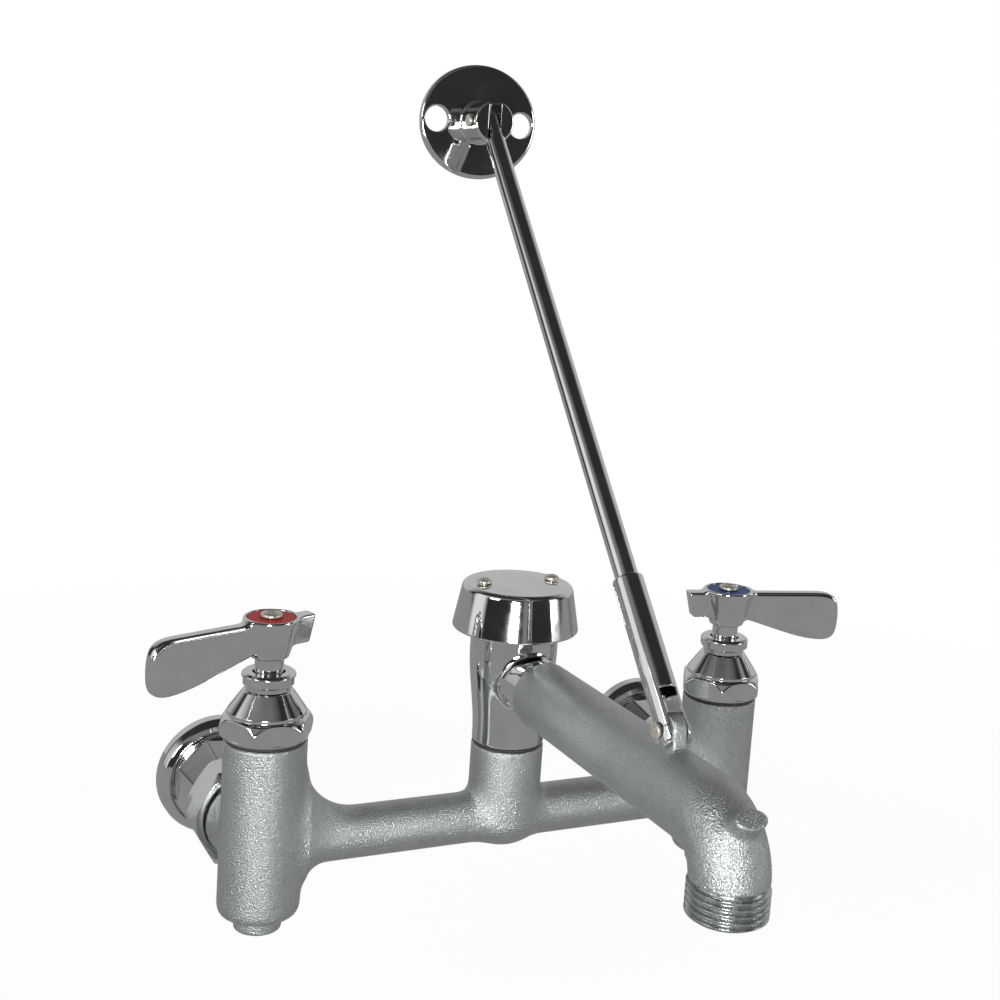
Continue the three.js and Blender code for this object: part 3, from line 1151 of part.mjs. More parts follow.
/** Wall flange, about +Z out from the wall: a mirror plate with a slotted hub and two holes. */
function wallFlange() {
  const rim = new THREE.Path();
  rim.absarc(
    FLANGE_HEIGHT / 2 - FLANGE_RIM_ROUND, FLANGE_THICKNESS - FLANGE_RIM_ROUND, FLANGE_RIM_ROUND,
    0, Math.PI / 2, false,
  );
  const disc = turned([
    [0, 0],
    [FLANGE_HEIGHT / 2, 0],
    ...rim.getPoints(3).map((point) => [point.x, point.y]),
    [0, FLANGE_THICKNESS],
  ], CAST_FACETS).scale(FLANGE_WIDTH / FLANGE_HEIGHT, 1, 1);
  const hub = turned([
    [0, FLANGE_THICKNESS / 2],
    [FLANGE_HUB_RADIUS, FLANGE_THICKNESS / 2],
    [FLANGE_HUB_RADIUS, FLANGE_HUB_LENGTH - FLANGE_HUB_EDGE],
    [FLANGE_HUB_RADIUS - FLANGE_HUB_EDGE, FLANGE_HUB_LENGTH],
    [0, FLANGE_HUB_LENGTH],
  ]);
  const slotWidth = ROD_TONGUE_THICKNESS + 2 * RUNNING_GAP;
  const slot = new THREE.BoxGeometry(slotWidth, 3 * FLANGE_HUB_RADIUS, FLANGE_HUB_LENGTH)
    .translate(0, 0, FLANGE_SLOT_FLOOR + FLANGE_HUB_LENGTH / 2);
  const pinHole = round(BRACE_PIN_RADIUS + SEAT_GAP, -2 * FLANGE_HUB_RADIUS, 2 * FLANGE_HUB_RADIUS, SMALL_FACETS)
    .rotateY(Math.PI / 2)
    .translate(0, 0, BRACE_PIN_STANDOFF);
  const screwHoles = [-1, 1].map((side) => (
    round(FLANGE_HOLE_RADIUS, -1, FLANGE_THICKNESS + 1, SMALL_FACETS)
      .translate(side * FLANGE_HOLE_OFFSET, 0, 0)
  ));
  return cut(join(disc, hub), slot, pinHole, ...screwHoles);
}

// ---------- Assembly ----------

/** Adds one named piece to a group. */
function add(group, name, geometry, material) {
  const mesh = new THREE.Mesh(geometry, material);
  mesh.name = name;
  group.add(mesh);
  return mesh;
}

/** The hot or cold valve, from its seat up to its handle, about its own upright axis. */
function valve(name, indexColour, handleTurn) {
  const group = new THREE.Group();
  add(group, `${name}_bonnet_gasket`, bonnetGasket(), fibre);
  add(group, `${name}_bonnet`, bonnet(), chrome);
  add(group, `${name}_packing_ring`, packingRing(), rubber);
  add(group, `${name}_packing_nut`, packingNut(), chrome)
    .rotation.z = THREE.MathUtils.degToRad(PACKING_NUT_TURN);
  add(group, `${name}_valve_seat`, valveSeat(), brass);
  add(group, `${name}_seat_washer`, seatWasher(), rubber);
  add(group, `${name}_washer_holder`, washerHolder(), brass);
  add(group, `${name}_washer_screw`, washerScrew(), brass);
  const spindle = new THREE.Group();
  spindle.rotation.z = THREE.MathUtils.degToRad(handleTurn);
  group.add(spindle);
  add(spindle, `${name}_stem`, stem(), chrome);
  add(spindle, `${name}_handle`, handle(), chrome);
  add(spindle, `${name}_index_disc`, indexDisc(), indexColour);
  const screw = crossScrew(
    HANDLE_SCREW_HEAD_RADIUS, HANDLE_SCREW_HEAD_HEIGHT, HANDLE_SCREW_RADIUS, HANDLE_SCREW_LENGTH - 1,
  );
  add(spindle, `${name}_handle_screw`, screw, steel).position.z = INDEX_TOP + SEAT_GAP;
  return group;
}

/** One inlet, turned so that its own +Z runs back to the wall. */
function inlet(name) {
  const group = new THREE.Group();
  group.rotation.x = -Math.PI / 2;
  add(group, `${name}_coupling_washer`, couplingWasher(), fibre);
  add(group, `${name}_coupling_nut`, couplingNut(), chrome);
  add(group, `${name}_inlet_flange`, inletFlange(), chrome);
  return group;
}

function vacuumBreaker() {
  const group = new THREE.Group();
  add(group, "breaker_seal", breakerSeal(), fibre);
  add(group, "breaker_body", breakerBody(), chrome);
  add(group, "float_seal", floatSeal(), rubber);
  add(group, "float_disc", floatDisc(), brass);
  add(group, "vent_cap", ventCap(), brass);
  add(group, "canopy", canopy(), chrome);
  for (const [name, side] of [["canopy_screw_left", -1], ["canopy_screw_right", 1]]) {
    const screw = crossScrew(
      CANOPY_SCREW_HEAD_RADIUS, CANOPY_SCREW_HEAD_HEIGHT, CANOPY_SCREW_RADIUS, CANOPY_SCREW_LENGTH,
    );
    add(group, name, screw, steel).position.set(side * CANOPY_SCREW_OFFSET, 0, CANOPY_SCREW_SEAT);
  }
  return group;
}

/** The brace, leaning back from the lug to the wall. */
function brace() {
  const group = new THREE.Group();
  group.position.set(0, -LUG_REACH, LUG_PIN_HEIGHT);
  group.rotation.x = -BRACE_LEAN;
  add(group, "brace_lower_pin", rivet(SLEEVE_RADIUS + SEAT_GAP), steel);
  add(group, "brace_sleeve", braceSleeve(), chrome);
  add(group, "brace_rod", braceRod(), chrome);
  return group;
}

/** The wall flange and its pin, turned so that their own +Z runs out from the wall. */
function wallEnd() {
  const group = new THREE.Group();
  group.position.set(0, WALL_TO_BODY, BRACE_PIN_HEIGHT);
  group.rotation.x = Math.PI / 2;
  add(group, "wall_flange", wallFlange(), chrome);
  add(group, "brace_upper_pin", rivet(FLANGE_HUB_RADIUS + SEAT_GAP), steel).position.z = BRACE_PIN_STANDOFF;
  return group;
}

const faucet = new THREE.Group();
faucet.position.y = -WALL_TO_BODY;
add(faucet, "faucet_body", faucetBody(), roughChrome);
const sides = [
  ["hot", -INLET_SPACING / 2, indexRed, 180 + HOT_HANDLE_TURN],
  ["cold", INLET_SPACING / 2, indexBlue, -COLD_HANDLE_TURN],
];
for (const [name, across, colour, handleTurn] of sides) {
  const placed = new THREE.Group();
  placed.position.x = across;
  placed.add(valve(name, colour, handleTurn), inlet(name));
  faucet.add(placed);
}
faucet.add(vacuumBreaker());
add(faucet, "spout", spout(), roughChrome);
faucet.add(brace(), wallEnd());

export default faucet;
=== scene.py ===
# %% [markdown]
# # Dressing a wall faucet
#
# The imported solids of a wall-mounted service-sink faucet are plain and faceted. This lesson gives
# each piece that shows the surface it has on the real thing: sand-cast metal under chrome plate,
# mirror plate on the turned pieces, bright steel screws and enamelled index discs.
#
# Everything is worked out in millimetres about a piece's own axis and then placed in metres, in the
# frame that the solids share: the wall is the plane y = 0 and the faucet stands out along -Y.

import json
import math

import bmesh
import bpy
from mathutils import Matrix, Vector


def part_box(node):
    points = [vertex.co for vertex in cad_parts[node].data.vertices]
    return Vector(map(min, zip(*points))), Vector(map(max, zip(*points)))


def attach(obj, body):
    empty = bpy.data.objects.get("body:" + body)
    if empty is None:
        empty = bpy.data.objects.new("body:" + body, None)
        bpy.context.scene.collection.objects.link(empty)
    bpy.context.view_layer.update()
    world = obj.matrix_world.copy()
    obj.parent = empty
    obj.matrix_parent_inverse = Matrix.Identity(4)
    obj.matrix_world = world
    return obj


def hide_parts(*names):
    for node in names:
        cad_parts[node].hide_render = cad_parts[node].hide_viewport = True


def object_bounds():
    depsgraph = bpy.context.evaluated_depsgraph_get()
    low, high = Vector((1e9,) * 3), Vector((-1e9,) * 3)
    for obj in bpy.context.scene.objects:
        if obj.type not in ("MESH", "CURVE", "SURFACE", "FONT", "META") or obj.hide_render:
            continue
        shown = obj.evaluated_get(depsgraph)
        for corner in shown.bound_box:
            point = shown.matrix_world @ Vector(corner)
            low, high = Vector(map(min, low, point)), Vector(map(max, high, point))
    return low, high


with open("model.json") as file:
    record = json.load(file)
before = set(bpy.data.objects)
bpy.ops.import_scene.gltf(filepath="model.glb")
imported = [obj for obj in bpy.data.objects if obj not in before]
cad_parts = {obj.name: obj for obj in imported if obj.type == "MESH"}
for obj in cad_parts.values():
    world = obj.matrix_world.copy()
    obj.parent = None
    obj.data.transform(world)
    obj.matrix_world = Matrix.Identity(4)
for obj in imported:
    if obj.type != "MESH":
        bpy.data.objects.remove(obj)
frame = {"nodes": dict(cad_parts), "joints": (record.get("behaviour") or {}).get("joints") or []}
CAD_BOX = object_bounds()
MM = 0.001

# %% [markdown]
# ## Arithmetic on sockets
#
# Shader trees and geometry trees both do their sums with Math nodes. Written node by node a formula
# is unreadable, so a small class wraps a socket and turns Python's operators into Math nodes. The
# same class then serves the finishes and the shapes.

# %% A node tree that is written as formulas
class Graph:
    """One node tree. node() adds any node: its kind, its settings, and what its sockets hold."""

    def __init__(self, tree):
        self.tree = tree

    def node(self, kind, settings=None, values=None, output=0):
        made = self.tree.nodes.new(kind)
        for setting, value in (settings or {}).items():
            setattr(made, setting, value)
        for key, value in (values or {}).items():
            self.plug(value, made.inputs[key])
        return Value(self, made.outputs[output])

    def plug(self, value, socket):
        """Links a socket, or writes a number or a colour into it."""
        if isinstance(value, Value):
            self.tree.links.new(value.socket, socket)
        else:
            socket.default_value = value

    def math(self, operation, *terms):
        return self.node("ShaderNodeMath", {"operation": operation}, dict(enumerate(terms)))

    def axes(self, vector):
        split = self.node("ShaderNodeSeparateXYZ", None, {0: vector})
        return [Value(self, output) for output in split.socket.node.outputs]

    def end(self, kind, value):
        self.plug(value, self.tree.nodes.new(kind).inputs[0])


def forward(operation):
    return lambda self, other: self.math(operation, other)


def reflected(operation):
    """The same with the socket second, so that 1 - mask works."""
    return lambda self, first: self.graph.math(operation, first, self)


class Value:
    """A socket with Python's arithmetic on it."""

    def __init__(self, graph, socket):
        self.graph = graph
        self.socket = socket

    def math(self, operation, *others):
        return self.graph.math(operation, self, *others)

    def clamp(self, low=0.0, high=1.0):
        return self.math("MAXIMUM", low).math("MINIMUM", high)

    def __neg__(self):
        return self * -1

    def __abs__(self):
        return self.math("ABSOLUTE")

    __add__ = __radd__ = forward("ADD")
    __mul__ = __rmul__ = forward("MULTIPLY")
    __sub__, __rsub__ = forward("SUBTRACT"), reflected("SUBTRACT")
    __truediv__, __rtruediv__ = forward("DIVIDE"), reflected("DIVIDE")
    __pow__ = forward("POWER")
    __gt__, __lt__ = forward("GREATER_THAN"), forward("LESS_THAN")


# %% [markdown]
# ## Shapes from distances
#
# A casting is one skin with a fillet at every join. Booleans leave sharp creases there, and bevels
# fail on them. So the casting is described by a distance: a formula that is negative inside the
# metal and positive outside. The lower of two distances joins two forms, and a softened minimum
# joins them with a fillet. Volume Cube samples the formula, Volume to Mesh wraps a skin round it,
# and moving each point back along its normal by the distance left puts it on the surface.

# %% Joining and rounding
FILLET = 1.757  # blend width of a softened minimum for a fillet of radius 1
EDGE = 0.3  # mm, the radius of a plain machined edge
FINE_EDGE = 0.2


def hypot(first, second):
    return (first * first + second * second).math("SQRT")


def join(first, second, radius=0.0):
    """The two forms as one, with a fillet of that radius in the corner between them."""
    return first.math("SMOOTH_MIN", second, FILLET * radius)


def within(first, second, radius=0.0):
    """What lies in both forms, with that radius on the edge where they meet."""
    return first.math("SMOOTH_MAX", second, FILLET * radius)


def without(form, hole, radius=EDGE):
    return within(form, -hole, radius)


def choose(test, chosen, other):
    """One of two values by a test that is 1 or 0, or a blend of them by a share in between."""
    return other + test * (chosen - other)


def share_of(place, start, end):
    """How far a place is from start to end, held between 0 and 1."""
    return ((place - start) / (end - start)).clamp()


# %% A skin round a distance
SETTLE_STEPS = 5
SETTLE_SHARE = 0.55  # of the distance left, small enough where a formula runs steeper than 1


def add_object(name, data):
    made = bpy.data.objects.new(name, data)
    bpy.context.scene.collection.objects.link(made)
    return made


def placed(name, mesh, place):
    """An object at the origin, with a mesh in mm moved to its place and brought to metres."""
    mesh.transform(Matrix.Scale(MM, 4) @ place)
    mesh.name = name
    print(f"{name}: {len(mesh.polygons)} faces")
    return add_object(name, mesh)


def new_tree(name, sizes):
    """A geometry tree with one input for each named size."""
    tree = bpy.data.node_groups.new(name, "GeometryNodeTree")
    tree.interface.new_socket("Geometry", in_out="OUTPUT", socket_type="NodeSocketGeometry")
    idents = {}
    for size in sizes:
        socket = tree.interface.new_socket(size, in_out="INPUT", socket_type="NodeSocketFloat")
        idents[size] = socket.identifier
    graph = Graph(tree)
    given = tree.nodes.new("NodeGroupInput")
    named = {size: Value(graph, given.outputs[size]) for size in sizes}
    return graph, named, idents


def run_tree(graph, geometry, finish, sizes, idents):
    """Ends a tree, gives its inputs their sizes, and returns the mesh it makes."""
    real = graph.node("GeometryNodeRealizeInstances", None, {0: geometry})
    dressed = graph.node("GeometryNodeSetMaterial", None, {"Geometry": real, "Material": finish})
    graph.end("NodeGroupOutput", dressed)
    name = graph.tree.name
    host = add_object(name, bpy.data.meshes.new(name))
    modifier = host.modifiers.new(name, "NODES")
    modifier.node_group = graph.tree
    for size, value in sizes.items():
        modifier[idents[size]] = float(value)
    depsgraph = bpy.context.evaluated_depsgraph_get()
    mesh = bpy.data.meshes.new_from_object(host.evaluated_get(depsgraph))
    bpy.data.objects.remove(host)
    return mesh


def skin(name, form, sizes, low, high, steps, finish, place):
    """The surface where form(x, y, z, sizes) is 0, between two corners, sampled at each step."""
    graph, named, idents = new_tree(name, sizes)
    distance = form(*graph.axes(graph.node("GeometryNodeInputPosition")), named)
    if isinstance(steps, float):
        steps = (steps, steps, steps)
    grid = {"Density": 1 - distance, "Min": low, "Max": high}
    for axis, bottom, top, step in zip("XYZ", low, high, steps):
        grid[f"Resolution {axis}"] = math.ceil((top - bottom) / step) + 1
    volume = graph.node("GeometryNodeVolumeCube", None, grid)
    geometry = graph.node("GeometryNodeVolumeToMesh", None, {"Volume": volume, "Threshold": 1.0})
    normal = graph.node("GeometryNodeInputNormal")
    for _ in range(SETTLE_STEPS):
        move = {0: normal, "Scale": distance * -SETTLE_SHARE}
        back = graph.node("ShaderNodeVectorMath", {"operation": "SCALE"}, move)
        geometry = graph.node("GeometryNodeSetPosition", None, {"Geometry": geometry, "Offset": back})
    geometry = graph.node("GeometryNodeSetShadeSmooth", None, {"Geometry": geometry})
    return placed(name, run_tree(graph, geometry, finish, sizes, idents), place)


# %% [markdown]
# ## Turned pieces
#
# Nuts, flanges and the canopy come off a lathe. Their skin is a half outline spun about an axis,
# with small arcs at the corners that show, because a mirror surface shows a light line along each
# edge. Wrench flats are cut in the same pass: the radius is held back to the flat, so that the
# curved line between flat and chamfer comes out by itself.

# %% A turned skin
ARC_POINTS = 5
SUPPORT = 0.12  # mm from an arc to the ring that keeps the flat beside it flat
ARC_SHARE = 0.48  # of a side of the outline, at most, for the arc at each of its ends
FLAT_STEP = 0.35  # mm between rings where a nut's flats are cut
TINY = 1e-6
FACETS = 96


def rounded(outline, closed):
    """Points of an outline of (radius, height, corner radius), its corners made arcs."""
    corners = [Vector(corner[:2]) for corner in outline]
    last = len(corners) - 1
    points = []
    for index, corner in enumerate(corners):
        radius = outline[index][2] if len(outline[index]) > 2 else 0
        if radius == 0 or (not closed and index in (0, last)):
            points.append(corner)
            continue
        before = corners[index - 1] - corner
        after = corners[(index + 1) % len(corners)] - corner
        back, ahead = before.normalized(), after.normalized()
        bend = math.tan((math.pi - before.angle(after)) / 2)
        reach = min(radius * bend, ARC_SHARE * before.length, ARC_SHARE * after.length)
        radius = reach / bend
        centre = corner + (back + ahead).normalized() * math.hypot(reach, radius)
        start = corner + back * reach - centre
        end = corner + ahead * reach - centre
        if before.length > 2 * reach + SUPPORT:
            points.append(corner + back * (reach + SUPPORT))
        for step in range(ARC_POINTS + 1):
            points.append(centre + start.lerp(end, step / ARC_POINTS).normalized() * radius)
        if after.length > 2 * reach + SUPPORT:
            points.append(corner + ahead * (reach + SUPPORT))
    return [(max(point.x, 0.0), point.y) for point in points]


def flats(sides, across, first=-90.0, taper=0.0, start=0.0):
    """Radius to a nut's flats by angle and height. They may widen by taper a mm above start."""
    pitch = 2 * math.pi / sides

    def limit(angle, height):
        off = (angle - math.radians(first) + pitch / 2) % pitch - pitch / 2
        return (across / 2 + taper * (height - start)) / math.cos(off)

    return limit


def soft_minimum(first, second, width):
    near = max(width - abs(first - second), 0.0) / width
    return min(first, second) - near ** 3 * width / 6


def subdivided(points, low, high):
    """The same outline with extra points between two heights, where a flat meets a curve."""
    dense = [points[0]]
    for point in points[1:]:
        before = dense[-1]
        gap = math.dist(before, point)
        if max(before[1], point[1]) > low and min(before[1], point[1]) < high and gap > FLAT_STEP:
            count = math.ceil(gap / FLAT_STEP)
            for part in range(1, count):
                share = part / count
                dense.append(tuple(a + (b - a) * share for a, b in zip(before, point)))
        dense.append(point)
    return dense


def turned(name, outline, finish, place, facets=FACETS, closed=False, nut=None):
    """A lathe piece. nut is (flat radius by angle, lowest height, highest height, edge radius)."""
    points = rounded(outline, closed)
    if nut:
        limit, nut_low, nut_high, nut_edge = nut
        points = subdivided(points, nut_low, nut_high)
    verts, rings = [], []
    for radius, height in points:
        if radius < TINY:
            rings.append([len(verts)])
            verts.append((0, 0, height))
            continue
        rings.append(range(len(verts), len(verts) + facets))
        for facet in range(facets):
            angle = 2 * math.pi * facet / facets
            reach = radius
            if nut and nut_low - TINY <= height <= nut_high + TINY:
                reach = soft_minimum(radius, limit(angle, height), nut_edge)
            verts.append((reach * math.cos(angle), reach * math.sin(angle), height))
    pairs = list(zip(rings, rings[1:])) + ([(rings[-1], rings[0])] if closed else [])
    faces = []
    for lower, upper in pairs:
        for facet in range(facets):
            after = (facet + 1) % facets
            corners = [lower[facet % len(lower)], lower[after % len(lower)]]
            corners += [upper[after % len(upper)], upper[facet % len(upper)]]
            faces.append(list(dict.fromkeys(corners)))
    mesh = bpy.data.meshes.new(name)
    mesh.from_pydata(verts, [], [face for face in faces if len(face) > 2])
    work = bmesh.new()
    work.from_mesh(mesh)
    bmesh.ops.remove_doubles(work, verts=work.verts, dist=10 * TINY)
    bmesh.ops.recalc_face_normals(work, faces=work.faces)
    work.to_mesh(mesh)
    work.free()
    mesh.materials.append(finish)
    mesh.polygons.foreach_set("use_smooth", [True] * len(mesh.polygons))
    return placed(name, mesh, place)


# %% [markdown]
# ## Plate, castings and paint
#
# Chrome has almost no colour of its own, so its look is in how sharp its reflections are. Plate over
# a turned piece is a mirror with faint ripples and a film of fingerprints. Plate over a sand casting
# follows every grain of the sand: one fine noise breaks the reflections up as a bump, and the same
# noise darkens the colour in the pits, painted shade where the grain's own shadow would fall. A
# function makes each finish, and reads the Object coordinates, which are real metres here.

# %% What the finishes share
def new_finish(name):
    """A material, its graph, its Principled node and the place of each point on the piece."""
    material = bpy.data.materials.new(name)
    material.use_nodes = True
    graph = Graph(material.node_tree)
    shader = material.node_tree.nodes["Principled BSDF"]
    point = graph.node("ShaderNodeTexCoord", output="Object")
    return material, graph, shader, point


def feed(graph, shader, **sockets):
    for name, value in sockets.items():
        graph.plug(value, shader.inputs[name.replace("_", " ")])


def noise(graph, point, per_mm, detail=2.0, roughness=0.5):
    """Noise between about 0.3 and 0.7, with that many swings in a millimetre."""
    values = {"Vector": point, "Scale": per_mm / MM, "Detail": detail, "Roughness": roughness}
    return graph.node("ShaderNodeTexNoise", None, values)


def around(grain, swing, middle=0.0, centre=0.5):
    """A noise moved to a new middle and stretched by a swing."""
    return (grain - centre) * swing + middle


def tint(graph, factor, first, second):
    """A colour between two others."""
    mix = graph.tree.nodes.new("ShaderNodeMix")
    mix.data_type = "RGBA"
    for socket, value in ((0, factor), (6, (*first, 1)), (7, (*second, 1))):
        graph.plug(value, mix.inputs[socket])
    return Value(graph, mix.outputs[2])


def bump(graph, height, strength, depth_mm):
    values = {"Height": height, "Strength": strength, "Distance": depth_mm * MM}
    return graph.node("ShaderNodeBump", None, values)


def mottled(name, per_mm, detail, dark, pale, rough, bumps=None, **sockets):
    """A finish from one noise. rough is (swing, middle, lowest, highest), bumps (strength, mm)."""
    material, graph, shader, point = new_finish(name)
    grain = noise(graph, point, per_mm, detail)
    swing, middle, lowest, highest = rough
    sockets["Base_Color"] = tint(graph, grain, dark, pale)
    sockets["Roughness"] = around(grain, swing, middle).clamp(lowest, highest)
    if bumps:
        sockets["Normal"] = bump(graph, grain, *bumps)
    feed(graph, shader, **sockets)
    return material


# %% Mirror plate
def mirror_plate():
    material, graph, shader, point = new_finish("mirror_plate")
    film = noise(graph, point, 0.09, 4.0)
    ripple = noise(graph, point, 0.12, 1.0)
    feed(
        graph, shader,
        Base_Color=tint(graph, film, (0.66, 0.67, 0.67), (0.86, 0.87, 0.87)),
        Metallic=1.0,
        Roughness=around(film, 0.3, 0.045, centre=0.45).clamp(0.035, 0.12),
        Normal=bump(graph, ripple, 0.12, 0.35),
    )
    return material


# %% Plate over a sand casting
def cast_plate():
    material, graph, shader, point = new_finish("cast_plate")
    mottle = noise(graph, point, 0.12, 3.0)
    sand = noise(graph, point, 1.5, 2.0, 0.6)
    # Painted shade: the sand noise that makes the bump also sets the colour, darker in the pits; the
    # mottle adds the plate's own uneven tone.
    tone_and_pit_shade = (mottle - 0.5) * 0.3 + (sand - 0.5) * 1.6 + 0.5
    feed(
        graph, shader,
        Base_Color=tint(graph, tone_and_pit_shade.clamp(), (0.34, 0.37, 0.355), (0.66, 0.69, 0.68)),
        Metallic=0.92,
        Roughness=around(mottle, 0.04, 0.31).clamp(0.28, 0.36),
        Normal=bump(graph, sand, 1.0, 0.5),
    )
    return material


# %% Turned thread, steel, brass and the hidden pieces
def soft_seal(name, dark, pale, per_mm):
    """Rubber or fibre: dull, with a fine grain."""
    return mottled(name, per_mm, 4.0, dark, pale, rough=(0.3, 0.8, 0.6, 0.95), bumps=(0.3, 0.1))


def enamel(name, deep, bright):
    """Index colour: paint in a shallow dish, glossy over a faint mottle."""
    return mottled(
        name, 0.6, 3.0, deep, bright,
        rough=(0.4, 0.4, 0.25, 0.55), bumps=(0.2, 0.15), Specular_IOR_Level=0.2,
    )


MIRROR = mirror_plate()
CAST = cast_plate()
SATIN = mottled(
    "satin_plate", 0.5, 3.0, (0.42, 0.45, 0.45), (0.68, 0.71, 0.71),
    rough=(0.4, 0.26, 0.15, 0.45), bumps=(0.15, 0.1), Metallic=1.0,
)
STEEL = mottled(
    "bright_steel", 0.7, 3.0, (0.50, 0.46, 0.40), (0.74, 0.69, 0.62),
    rough=(0.4, 0.32, 0.22, 0.45), Metallic=0.8,
)
BRASS = mottled(
    "plain_brass", 0.25, 4.0, (0.50, 0.36, 0.14), (0.80, 0.62, 0.28),
    rough=(0.5, 0.32, 0.2, 0.5), Metallic=1.0,
)
RUBBER = soft_seal("black_rubber", (0.012, 0.012, 0.013), (0.04, 0.04, 0.042), 0.8)
FIBRE = soft_seal("pressed_fibre", (0.020, 0.018, 0.016), (0.055, 0.048, 0.04), 1.4)
RED = enamel("red_enamel", (0.30, 0.004, 0.004), (0.50, 0.012, 0.010))
BLUE = enamel("blue_enamel", (0.004, 0.03, 0.14), (0.008, 0.06, 0.26))
print("finishes:", len(bpy.data.materials))

# %% [markdown]
# ## Where things are
#
# The frame gives each solid's box and each joint's place. The two valve axes and the plane that
# they stand in follow from the boxes, and the line of the brace from the joints at its ends. Sizes
# that these don't give are named beside the piece that needs them.

# %% Axes of the faucet
def box_mm(node):
    low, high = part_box(node)
    return low / MM, high / MM


def centre_mm(node):
    low, high = box_mm(node)
    return (low + high) / 2


JOINTS = {joint["name"]: joint for joint in frame["joints"]}
VALVES = {"hot": centre_mm("hot_bonnet"), "cold": centre_mm("cold_bonnet")}
SPACING = VALVES["cold"].x - VALVES["hot"].x
BODY_PLANE = VALVES["hot"].y
LUG_PIN = Vector(JOINTS["brace_pivot"]["pos_m"]) / MM
WALL_PIN = Vector(JOINTS["plate_pivot"]["pos_m"]) / MM
BRACE_LINE = WALL_PIN - LUG_PIN
BRACE_LENGTH = BRACE_LINE.length
BRACE_LEAN = math.atan2(BRACE_LINE.y, BRACE_LINE.z)
AT_BODY = Matrix.Translation((0, BODY_PLANE, 0))
ALONG_BRACE = Matrix.Translation(LUG_PIN) @ Matrix.Rotation(-BRACE_LEAN, 4, "X")
print(f"spacing {SPACING:.1f} mm, brace {BRACE_LENGTH:.1f} mm")


def box_at_body(node):
    """A solid's box, measured from the middle of the body plane."""
    return [corner - Vector((0, BODY_PLANE, 0)) for corner in box_mm(node)]


def column(half, bottom, top):
    """Two corners of a square column about an axis."""
    return Vector((-half, -half, bottom)), Vector((half, half, top))


def at_valve(name):
    return Matrix.Translation((VALVES[name].x, BODY_PLANE, 0))


def at_inlet(name):
    """The inlet's own +Z runs from the body plane back to the wall."""
    return at_valve(name) @ Matrix.Rotation(-math.pi / 2, 4, "X")


def dress(piece, body, slot, *nodes):
    """The piece rides on a body and stands for its solids. The slot it is given is not used."""
    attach(piece, body)
    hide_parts(*nodes)
    return piece


# %% [markdown]
# ## The camera
#
# The photograph was taken from the front left and a little above, with the camera rolled a few
# degrees. The lens and place here come from fitting the 8 in inlet spacing and the upright valve
# axes. The picture is a crop, so its optical centre sits right of and above the middle: that is
# the shift.

# %% Camera
FOCAL_PIXELS = 1506.3
PICTURE_PIXELS = 1000
SENSOR = 36.0
OPTICAL_CENTRE = (560, 400)
CAMERA_PLACE = Vector((-255.3, -612.2, 255.4))
CAMERA_AZIMUTH = math.radians(26.49)
CAMERA_DROP = math.radians(7.8)
CAMERA_ROLL = math.radians(4.15)


data = bpy.data.cameras.new("camera")
data.sensor_width = SENSOR
data.lens = SENSOR * FOCAL_PIXELS / PICTURE_PIXELS
data.shift_x = 0.5 - OPTICAL_CENTRE[0] / PICTURE_PIXELS
data.shift_y = OPTICAL_CENTRE[1] / PICTURE_PIXELS - 0.5
camera = add_object("camera", data)
turn = Matrix.Rotation(-CAMERA_AZIMUTH, 4, "Z") @ Matrix.Rotation(math.pi / 2 - CAMERA_DROP, 4, "X")
camera.matrix_world = (
    Matrix.Translation(CAMERA_PLACE * MM) @ turn @ Matrix.Rotation(CAMERA_ROLL, 4, "Z")
)
bpy.context.scene.camera = camera
print(f"lens {data.lens:.1f} mm, shift {data.shift_x:.2f}, {data.shift_y:.2f}")

# %% [markdown]
# ## The body casting
#
# Two barrels, the crossbar between them, the riser for the breaker and an inlet boss behind each
# barrel are one casting. The crossbar sweeps up into each barrel on a wide radius, so its height is
# itself a formula of the distance to the barrel. Small fillets join the rest.

# %% Body casting
BODY_SIZES = {
    "Half spacing": SPACING / 2,
    "Barrel radius": 15.9,
    "Bar radius": 10.2,
    "Upper sweep": 23,
    "Lower sweep": 9,
    "Side sweep": 2.2,
    "Riser radius": 14.8,
    "Riser foot": 12,
    "Boss radius": 16.2,
}
SWEEP_SHARE = 0.97  # the sweep stops just short of upright, and a fillet takes over
SIDE_SWEEP_REACH = 13
BARREL_TOP = 42.2
BARREL_BOTTOM = -27.5
BARREL_EDGE_ROUND = 3.6
BARREL_BOSS_BOTTOM = -33.8
BARREL_BOSS_RADIUS = 9.2
RISER_TOP = 31.0
FLARE_START = 8
INLET_BOSS_END = 23.6
INLET_ROOT_RADIUS = 13.4
INLET_THREAD_RADIUS = 14.5
INLET_THREAD_END = 34.0
INLET_EDGE_ROUND = 0.7
CHAMBER_RADIUS = 11.5
CHAMBER_FLOOR = 12.3
RISER_BORE_RADIUS = 10.9
RISER_BORE_FLOOR = 14.0
INLET_FILLET = 2.5
CROSSBAR_FILLET = 2.8
RISER_FILLET = 4.0
BODY_STEP = 0.8


def crossbar_form(side, y, z, size):
    """Round bar whose section grows as it nears a barrel."""
    gap = size["Half spacing"] - size["Barrel radius"] - side

    def rise(radius):
        inside = (radius - gap).clamp(0, radius * SWEEP_SHARE)
        return radius - (radius * radius - inside * inside).math("SQRT")

    height = size["Bar radius"] + choose(z > 0, rise(size["Upper sweep"]), rise(size["Lower sweep"]))
    near = (1 - gap / SIDE_SWEEP_REACH).clamp()
    width = size["Bar radius"] + size["Side sweep"] * near * near
    section = (hypot(y / width, z / height) - 1) * size["Bar radius"]
    return within(section, side - size["Half spacing"])


def barrel_form(across, y, z, size):
    reach = hypot(across, y)
    barrel = within(reach - size["Barrel radius"], BARREL_BOTTOM - z, BARREL_EDGE_ROUND)
    barrel = within(barrel, z - BARREL_TOP, 0.5)
    boss = within(within(reach - BARREL_BOSS_RADIUS, BARREL_BOSS_BOTTOM - z, 0.9), z)
    return join(barrel, boss, 1.0)


